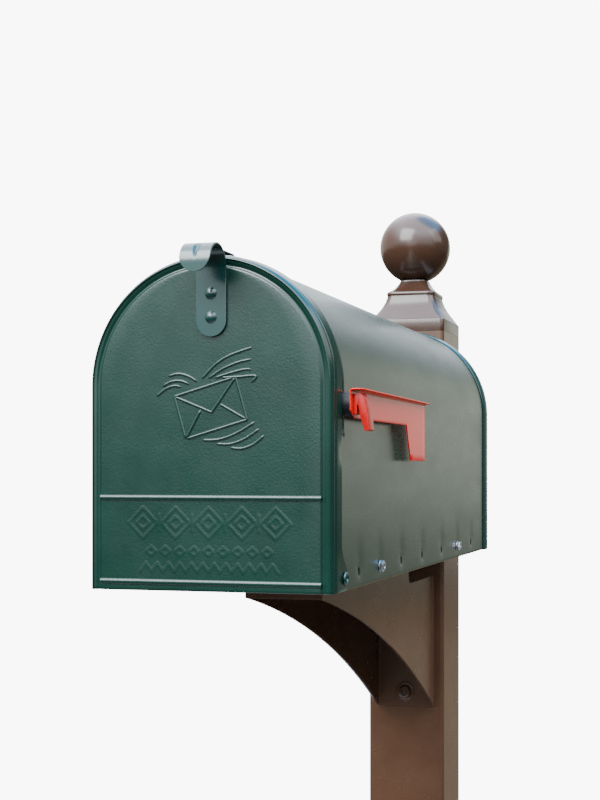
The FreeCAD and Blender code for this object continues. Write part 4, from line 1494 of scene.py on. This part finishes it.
    def slot_blocks(self, stations: Sequence[ArchStation], backs: Sequence[float]) -> set[tuple[int, int]]:
        """Find the cells of the shell's grid that lie in the patches round the slots.

        Args:
            stations: The grid's lines.
            backs: Depths of the points on each line.

        Returns:
            Line and step of each such cell.
        """
        found = set()
        low, high = self.slot_rise - self.block_tall, self.slot_rise + self.block_tall
        for line, (first, second) in enumerate(zip(stations, stations[1:])):
            rise = (first.rise + second.rise) / 2
            if first.up or second.up or not low < rise < high:
                continue
            for step, (near, far) in enumerate(zip(backs, backs[1:])):
                middle = (near + far) / 2
                if any(abs(middle - slot) < self.block_half for slot in self.slot_backs):
                    found.add((line, step))
        return found

    def slot_ring(self, mould: Mould, side: float, slot: float) -> None:
        """Fill the patch round a slot, leaving its rounded opening.

        Args:
            mould: The shell's surface.
            side: -1 for the left skirt, 1 for the right.
            slot: Depth of the slot's middle.
        """
        square = [(-1, -1), (-0.5, -1), (0, -1), (0.5, -1), (1, -1), (1, -0.5), (1, 0), (1, 0.5),
                  (1, 1), (0.5, 1), (0, 1), (-0.5, 1), (-1, 1), (-1, 0.5), (-1, 0), (-1, -0.5)]
        outer, inner = [], []
        straight = self.slot_tall - self.slot_half
        for across, up in square:
            station = ArchStation(side, 0.0, self.slot_rise + self.block_tall * up)
            outer.append(self.skin(station, slot + self.block_half * across))
            angle = math.atan2(up, across)
            back = slot + self.slot_half * math.cos(angle)
            rise = self.slot_rise + self.slot_half * math.sin(angle) + straight * max(-1.0, min(1.0, up))
            x, y, z = self.skin(ArchStation(side, 0.0, rise), back)
            inner.append((x - side * self.slot_sunk, y, z))
        mould.grid([outer, inner], ring=True)

    def rear_panel(self) -> bpy.types.Object:
        """The rear sheet, its proud rolled hem and a stiffening bead.

        Returns:
            The sheet, with its thickness.
        """
        mould = Mould("rear_panel_sheet")
        lip = self.length - self.hem_depth
        section = [
            (self.half + 0.15, lip + 0.9), (self.half + 0.22, lip + 0.3), (self.half + 0.5, lip),
            *((self.hem_outer - inset, lip + back) for inset, back in self.hem_profile),
            *((half, self.length + back) for half, back in self.bead_profile),
        ]
        heights = merged([0.0, 0.3, 0.8, 1.5], spread(4.0, 132.0, 14))
        rows = []
        for station in arch_stations(self.spring, heights, 96):
            places = [(station.at(half), depth) for half, depth in section]
            rows.append([(across, depth, rise) for (across, rise), depth in places])
        mould.grid(rows)
        mould.grid(across_panel(rows, 11))
        return thicken(mould.piece(self.site.box(), inside=(0.0, 0.0, 100.0)), 0.8)

    def build(self) -> None:
        """Build the shell and rear panel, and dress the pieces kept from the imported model."""
        self.fit(self.shell(), Finish.SHELL_GREEN, Body.ROOT, "green", "shell")
        self.fit(self.rear_panel(), Finish.HANDLE_GREEN, Body.ROOT, "green", "rear_panel")
        self.dress("floor_pan", Finish.SHELL_GREEN)
        self.dress("mounting_board", Finish.TIMBER)
        self.dress("roof_catch", Finish.HANDLE_GREEN)
        self.dress("roof_catch_rivets", Finish.ZINC)


# --- flag --------------------------------------------------------------------------------
@dataclass
class Flag(SubAssembly):
    """The red flag: a folded sheet with a top lip, and the thick clip at its pivot."""

    back: float = 94.45
    sheet: float = 1.0
    front: float = 16.0
    rear: float = 226.0
    low: float = 117.0
    high: float = 137.0
    chamfer: float = 5.0
    head_foot: float = 89.7
    head_root: float = 60.0
    head_tip: float = 47.0
    lip_front: float = 8.5
    lip_rear: float = 4.5
    bend: float = 1.3
    pivot_back: float = 27.0
    tab_half: float = 6.25
    tab_leg: float = 3.0
    tab_slit: float = 0.9
    tab_reach: float = 11.5
    tab_foot: float = 108.6

    def slope(self) -> Span:
        """Where the lower edge leaves the arm, and where it reaches the head's foot."""
        return self.rear - self.head_root, self.rear - self.head_tip

    def lowest(self, back: float) -> float:
        """Height of the plate's lower edge at a place along it.

        Args:
            back: The place's depth.

        Returns:
            The height there.
        """
        start, end = self.slope()
        if back < self.front + 2 * self.chamfer:
            return self.low + self.chamfer * (1 - (back - self.front) / (2 * self.chamfer))
        if back <= start:
            return self.low
        if back >= end:
            return self.head_foot
        return self.low - (self.low - self.head_foot) * (back - start) / (end - start)

    def lip_reach(self, back: float) -> float:
        """How far the lip reaches out past the plate's face.

        Args:
            back: The place's depth.

        Returns:
            The reach there.
        """
        if back < self.front + self.chamfer:
            return self.chamfer + (self.lip_front - self.chamfer) * (back - self.front) / self.chamfer
        share = (back - self.front - self.chamfer) / (self.rear - self.front - self.chamfer)
        return self.lip_front + (self.lip_rear - self.lip_front) * share

    def plate(self) -> bpy.types.Object:
        """The folded plate.

        Returns:
            The plate, with its thickness.
        """
        mould = Mould("flag_plate")
        face = self.back + self.sheet
        top = self.high - self.sheet
        start, end = self.slope()
        rows = []
        for back in merged(spread(self.front, self.front + 2 * self.chamfer, 7), spread(30.0, start, 13),
                           spread(start, end, 6), spread(end, self.rear, 7)):
            low = self.lowest(back)
            row = [(face, back, low + (top - self.bend - low) * share) for share in spread(0.0, 1.0, 9)]
            for angle in spread(0.0, math.pi / 2, 6)[1:]:
                row.append((face + self.bend * (1 - math.cos(angle)), back,
                            top - self.bend * (1 - math.sin(angle))))
            reach = self.lip_reach(back)
            row += [(face + self.bend + (reach - self.bend) * share, back, top) for share in (0.3, 0.65, 1.0)]
            rows.append(row)
        mould.grid(rows)
        return thicken(mould.piece(self.site.box(), inside=(0.0, 120.0, 200.0)), self.sheet, edge=0.4)

    def tab(self) -> bpy.types.Object:
        """The thick clip that a finger pushes: a crescent, a slit and a curved outer leg.

        Returns:
            The clip, with its edges broken.
        """
        face = self.back + self.sheet
        leg, slit, reach, foot = self.tab_leg, self.tab_slit, self.tab_reach, self.tab_foot
        top = self.high - self.sheet - 0.1
        inner_foot = self.low + 2.5
        slit_top = inner_foot + 2 * leg
        corners = [
            (face, top - leg - 1.0), (face, inner_foot), (face + leg, inner_foot),
            (face + leg - 0.3, slit_top), (face + leg + slit - 0.3, slit_top + 0.4),
            (face + leg + slit + 1.3, inner_foot - 2.0), (face + reach - leg - 0.4, foot),
            (face + reach, foot), (face + reach - 1.0, 119.0), (face + reach - 3.2, 129.0),
            (face + leg + 1.6, top),
        ]
        radii = [1.8, 0.7, 1.0, 0.2, 0.2, 5.0, 0.8, 1.1, 22.0, 8.0, 2.6]
        outline = rounded(corners, radii, 7)
        mould = Mould("flag_finger_clip")
        sides = [[(x, self.pivot_back + side * self.tab_half, z) for x, z in outline] for side in (-1, 1)]
        for side in sides:
            mould.fill(side)
        mould.grid(sides, ring=True)
        piece = mould.piece(self.site.box())
        break_edges(piece, 0.8, 3, 60)
        return settle(piece)

    def build(self) -> None:
        """Build the flag and its clip, and dress what holds them."""
        self.fit(self.plate(), Finish.FLAG_RED, Body.FLAG, "red", "flag")
        self.fit(self.tab(), Finish.TAB_RED, Body.FLAG, "red_plastic", "flag_finger_tab")
        self.dress("flag_pivot_rivet", Finish.ZINC)
        self.dress("flag_friction_washer", Finish.ZINC)
        self.dress("flag_spacer", Finish.NYLON)


# --- post --------------------------------------------------------------------------------
@dataclass
class Post(SubAssembly):
    """The bracket and square post, with its moulded cap and ball finial."""

    half: float = 41.0
    band: float = 13.5
    ball_radius: float = 38.4
    ball_rise: float = 95.1
    ball_sides: int = 112
    stem_half: float = 13.2
    neck_rise: float = 58.5
    spigot: float = 30.0
    spigot_half: float = 34.6

    def ring(self, half: float, corner: float, rise: float, steps: int = 6) -> list[Point]:
        """A square with rounded corners.

        Args:
            half: Half its width.
            corner: Radius of its corners.
            rise: Height above the post's top.
            steps: Points round each corner.

        Returns:
            The square's points.
        """
        corner = min(corner, half - 0.05)
        flat = half - corner
        quarter = math.pi / 2
        points = []
        for turn, (x, y) in enumerate(((1, -1), (1, 1), (-1, 1), (-1, -1))):
            for angle in spread(-quarter + turn * quarter, turn * quarter, steps):
                points.append((flat * x + corner * math.cos(angle), flat * y + corner * math.sin(angle),
                               rise))
        return points

    def cap(self) -> bpy.types.Object:
        """The cap: a square band, a hollow-curved slope, a small moulding and a neck.

        Returns:
            The cap.
        """
        outline = [
            (self.spigot_half, -self.spigot), (self.half - 0.8, -0.02), (self.half - 0.15, 0.25),
            (self.half, 0.9), (self.half, self.band - 1.3), (self.half - 0.3, self.band - 0.4),
            (self.half - 1.0, self.band),
            *smoothed([(39.6, 14.2), (36.6, 19.1), (31.6, 26.5), (28.1, 33.5), (26.2, 39.6)], 6),
            (26.1, 40.6), (26.5, 41.3), (26.7, 42.4), (26.5, 43.8), (25.8, 45.0), (24.9, 45.6),
            *smoothed([(24.2, 45.9), (20.2, 49.2), (17.2, 53.2), (15.3, 56.6), (14.7, self.neck_rise)], 5),
        ]
        rows = []
        for index, (half, rise) in enumerate(outline):
            corner = 2.0 if index == 0 else 4.0 + 3.4 * ease(rise, self.band - 0.5, self.band + 6)
            rows.append(self.ring(half, corner, rise))
        rows.insert(1, self.ring(self.spigot_half, 2.0, -0.05))
        mould = Mould("post_cap_moulding")
        mould.grid(rows, ring=True)
        mould.fill(rows[0])
        mould.fill(rows[-1])
        return settle(mould.piece(self.site.post()))

    def ball(self) -> bpy.types.Object:
        """The ball with its short stem.

        Returns:
            The ball.
        """
        rings = [(self.stem_half, self.neck_rise - 0.02)]
        for angle in spread(-math.acos(self.stem_half / self.ball_radius), math.pi / 2, 64):
            rings.append((self.ball_radius * math.cos(angle),
                          self.ball_rise + self.ball_radius * math.sin(angle)))
        angles = [2 * math.pi * step / self.ball_sides for step in range(self.ball_sides)]
        rows = [[(radius * math.cos(angle), radius * math.sin(angle), rise) for angle in angles]
                for radius, rise in rings]
        mould = Mould("finial_ball_shell")
        mould.grid(rows, ring=True)
        mould.fill(rows[0])
        return settle(mould.piece(self.site.post()))

    def build(self) -> None:
        """Build the cap and the ball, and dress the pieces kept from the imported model."""
        self.fit(self.cap(), Finish.CAST_BRONZE, Body.ROOT, "bronze", "post_cap")
        self.fit(self.ball(), Finish.CAST_BRONZE, Body.ROOT, "bronze", "finial_ball")
        self.dress("bracket", Finish.BRONZE)
        self.dress("post_tube", Finish.BRONZE)
        self.dress("foot_plug", Finish.PLUG)
        for node in ("finial_stud", "finial_nut", "finial_washer"):
            self.dress(node, Finish.ZINC)


# --- studio ------------------------------------------------------------------------------
@dataclass(frozen=True)
class SoftLight:
    """A square area light that looks at the box."""

    name: str
    place: Point
    power: float
    side: float
    colour: Colour

    def make(self, target: Vector) -> None:
        """Put the light in the scene, facing the target.

        Args:
            target: The place that it looks at.
        """
        lamp = bpy.data.lights.new(self.name, "AREA")
        lamp.energy = self.power
        lamp.size = self.side
        lamp.color = self.colour
        holder = bpy.data.objects.new(self.name, lamp)
        bpy.context.scene.collection.objects.link(holder)
        holder.location = self.place
        holder.rotation_euler = (target - Vector(self.place)).to_track_quat("-Z", "Y").to_euler()


@dataclass
class Studio:
    """A pale floor, soft light from a pale sky and two panels, and the camera."""

    site: Site
    camera_place: Point = (0.34892, -1.39296, 1.14922)
    camera_turn: float = 0.2522
    lens: float = 58.83
    shift: Flat = (-0.133, 0.0877)
    floor_half: float = 1.0
    floor_colours: tuple[Colour, Colour] = ((0.21, 0.21, 0.205), (0.195, 0.195, 0.19))
    backdrop: float = 9.0
    ground: Colour = (0.09, 0.075, 0.055)
    far_ground: Colour = (0.40, 0.33, 0.23)
    horizon: Colour = (0.40, 0.44, 0.38)
    low_sky: Colour = (1.9, 2.05, 2.2)
    high_sky: Colour = (5.2, 5.6, 6.5)
    left_sky: Colour = (1.3, 1.2, 1.15)
    opening: Colour = (2.6, 2.9, 3.1)
    shade: Colour = (0.14, 0.14, 0.11)
    hedge: Colour = (1.05, 1.10, 0.94)
    clear_sky: Colour = (0.25, 2.2, 4.6)
    lights: tuple[SoftLight, ...] = (
        SoftLight("front_panel", (-0.9, -2.7, 3.5), 220.0, 2.4, (0.94, 0.98, 1.0)),
        SoftLight("side_panel", (2.6, 0.2, 3.0), 25.0, 1.8, (1.0, 0.97, 0.94)),
    )

    def floor(self) -> None:
        """The plain pale floor."""
        mould = Mould("floor")
        half = self.floor_half / MM
        mould.grid([[(x, y, 0.0) for x in (-half, half)] for y in (-half, half)])
        piece = mould.piece(Matrix.Scale(MM, 4), inside=(0.0, 0.0, -1000.0))
        recipe = Recipe("pale_floor")
        recipe.set(Roughness=0.9)
        cloud = recipe.remap(recipe.noise(400.0, 3.0), 0.3, 0.7)
        recipe.wire("Base Color", recipe.blend(cloud, *self.floor_colours))
        piece.data.materials.append(recipe.material)

    def sky(self) -> None:
        """A pale sky over dark ground, with shade to the right, and plain white for the camera."""
        world = bpy.data.worlds.new("open_sky")
        world.use_nodes = True
        tree = world.node_tree
        tree.nodes.clear()

        def node(kind: str, links: dict[object, object], **settings: object) -> bpy.types.Node:
            """Add a node to the sky."""
            return add_node(tree, kind, links, settings)

        def step(value: bpy.types.NodeSocket, low: float, high: float) -> bpy.types.NodeSocket:
            """A mask that rises smoothly from 0 at low to 1 at high.

            Args:
                value: The number that the mask is made of.
                low: Where it is 0.
                high: Where it is 1.

            Returns:
                The mask.
            """
            made = node("ShaderNodeMapRange", {"Value": value, "From Min": low, "From Max": high},
                        interpolation_type="SMOOTHSTEP")
            return made.outputs["Result"]

        def side(direction: Point) -> bpy.types.NodeSocket:
            """How nearly a ray goes in a direction."""
            made = node("ShaderNodeVectorMath", {0: towards, 1: direction}, operation="DOT_PRODUCT")
            return made.outputs["Value"]

        def both(first: bpy.types.NodeSocket, second: bpy.types.NodeSocket) -> bpy.types.NodeSocket:
            """Where two masks meet."""
            return node("ShaderNodeMath", {0: first, 1: second}, operation="MULTIPLY").outputs[0]

        def over(share: bpy.types.NodeSocket, below: object, above: Colour) -> bpy.types.NodeSocket:
            """One colour laid over another by a mask.

            Args:
                share: The mask.
                below: The colour where it is 0.
                above: The colour where it is 1.

            Returns:
                The result.
            """
            made = node("ShaderNodeMix", {"Factor": share, 6: tint(below), 7: tint(above)},
                        data_type="RGBA", clamp_factor=True)
            return made.outputs[2]

        towards = node("ShaderNodeTexCoord", {}).outputs["Generated"]
        up = node("ShaderNodeSeparateXYZ", {0: towards}).outputs["Z"]
        colour = over(step(up, -0.01, 0.01), self.ground, self.horizon)
        far_ground = both(step(side((0.24, 0.94, -0.24)), 0.86, 0.97), step(up, -0.09, -0.14))
        colour = over(far_ground, colour, self.far_ground)
        colour = over(step(up, 0.03, 0.24), colour, self.low_sky)
        colour = over(step(up, 0.28, 0.75), colour, self.high_sky)
        left = both(step(side((-0.98, 0.20, 0.0)), 0.45, 0.95), step(up, -0.01, 0.05))
        colour = over(left, colour, self.left_sky)
        shade = both(step(side((0.80, 0.60, 0.0)), 0.45, 0.80), step(up, 0.0, 0.04))
        colour = over(shade, colour, self.shade)
        behind = both(step(side((0.24, 0.97, 0.0)), 0.955, 0.988), step(up, 0.50, 0.30))
        colour = over(both(behind, step(up, -0.11, 0.03)), colour, self.hedge)
        colour = over(step(side((0.36, 0.34, 0.87)), 0.87, 0.97), colour, self.clear_sky)
        colour = over(step(side((-0.02, -0.94, 0.34)), 0.90, 0.99), colour, self.opening)
        soft = node("ShaderNodeBackground", {"Color": colour})
        plain = node("ShaderNodeBackground", {"Color": (1.0, 1.0, 1.0, 1.0), "Strength": self.backdrop})
        rays = node("ShaderNodeLightPath", {})
        either = node("ShaderNodeMixShader", {
            "Fac": rays.outputs["Is Camera Ray"], 1: soft.outputs[0], 2: plain.outputs[0]})
        node("ShaderNodeOutputWorld", {"Surface": either.outputs[0]})
        bpy.context.scene.world = world

    def camera(self) -> None:
        """The camera, level and a little to the right of the door."""
        lens = bpy.data.cameras.new("camera")
        lens.lens = self.lens
        lens.sensor_width = 36.0
        lens.shift_x, lens.shift_y = self.shift
        holder = bpy.data.objects.new("camera", lens)
        bpy.context.scene.collection.objects.link(holder)
        holder.location = self.camera_place
        holder.rotation_euler = (math.pi / 2, 0.0, self.camera_turn)
        bpy.context.scene.camera = holder

    def build(self) -> None:
        """Set up the camera, floor, sky and lights."""
        self.camera()
        self.floor()
        self.sky()
        target = Vector((0.0, self.site.door_face * 0.6, self.site.skirt_foot + 0.1))
        for light in self.lights:
            light.make(target)


def main() -> None:
    """Build everything in order."""
    logging.basicConfig(level=logging.INFO, format="%(name)s %(message)s")
    site = Site.read()
    shop = Paintshop()
    Studio(site).build()
    for assembly in (Post(site, shop), Housing(site, shop), Door(site, shop), Flag(site, shop),
                     Fasteners(site, shop)):
        assembly.build()
        log.info("%s is built", type(assembly).__name__)


if __name__ == "__main__":
    main()
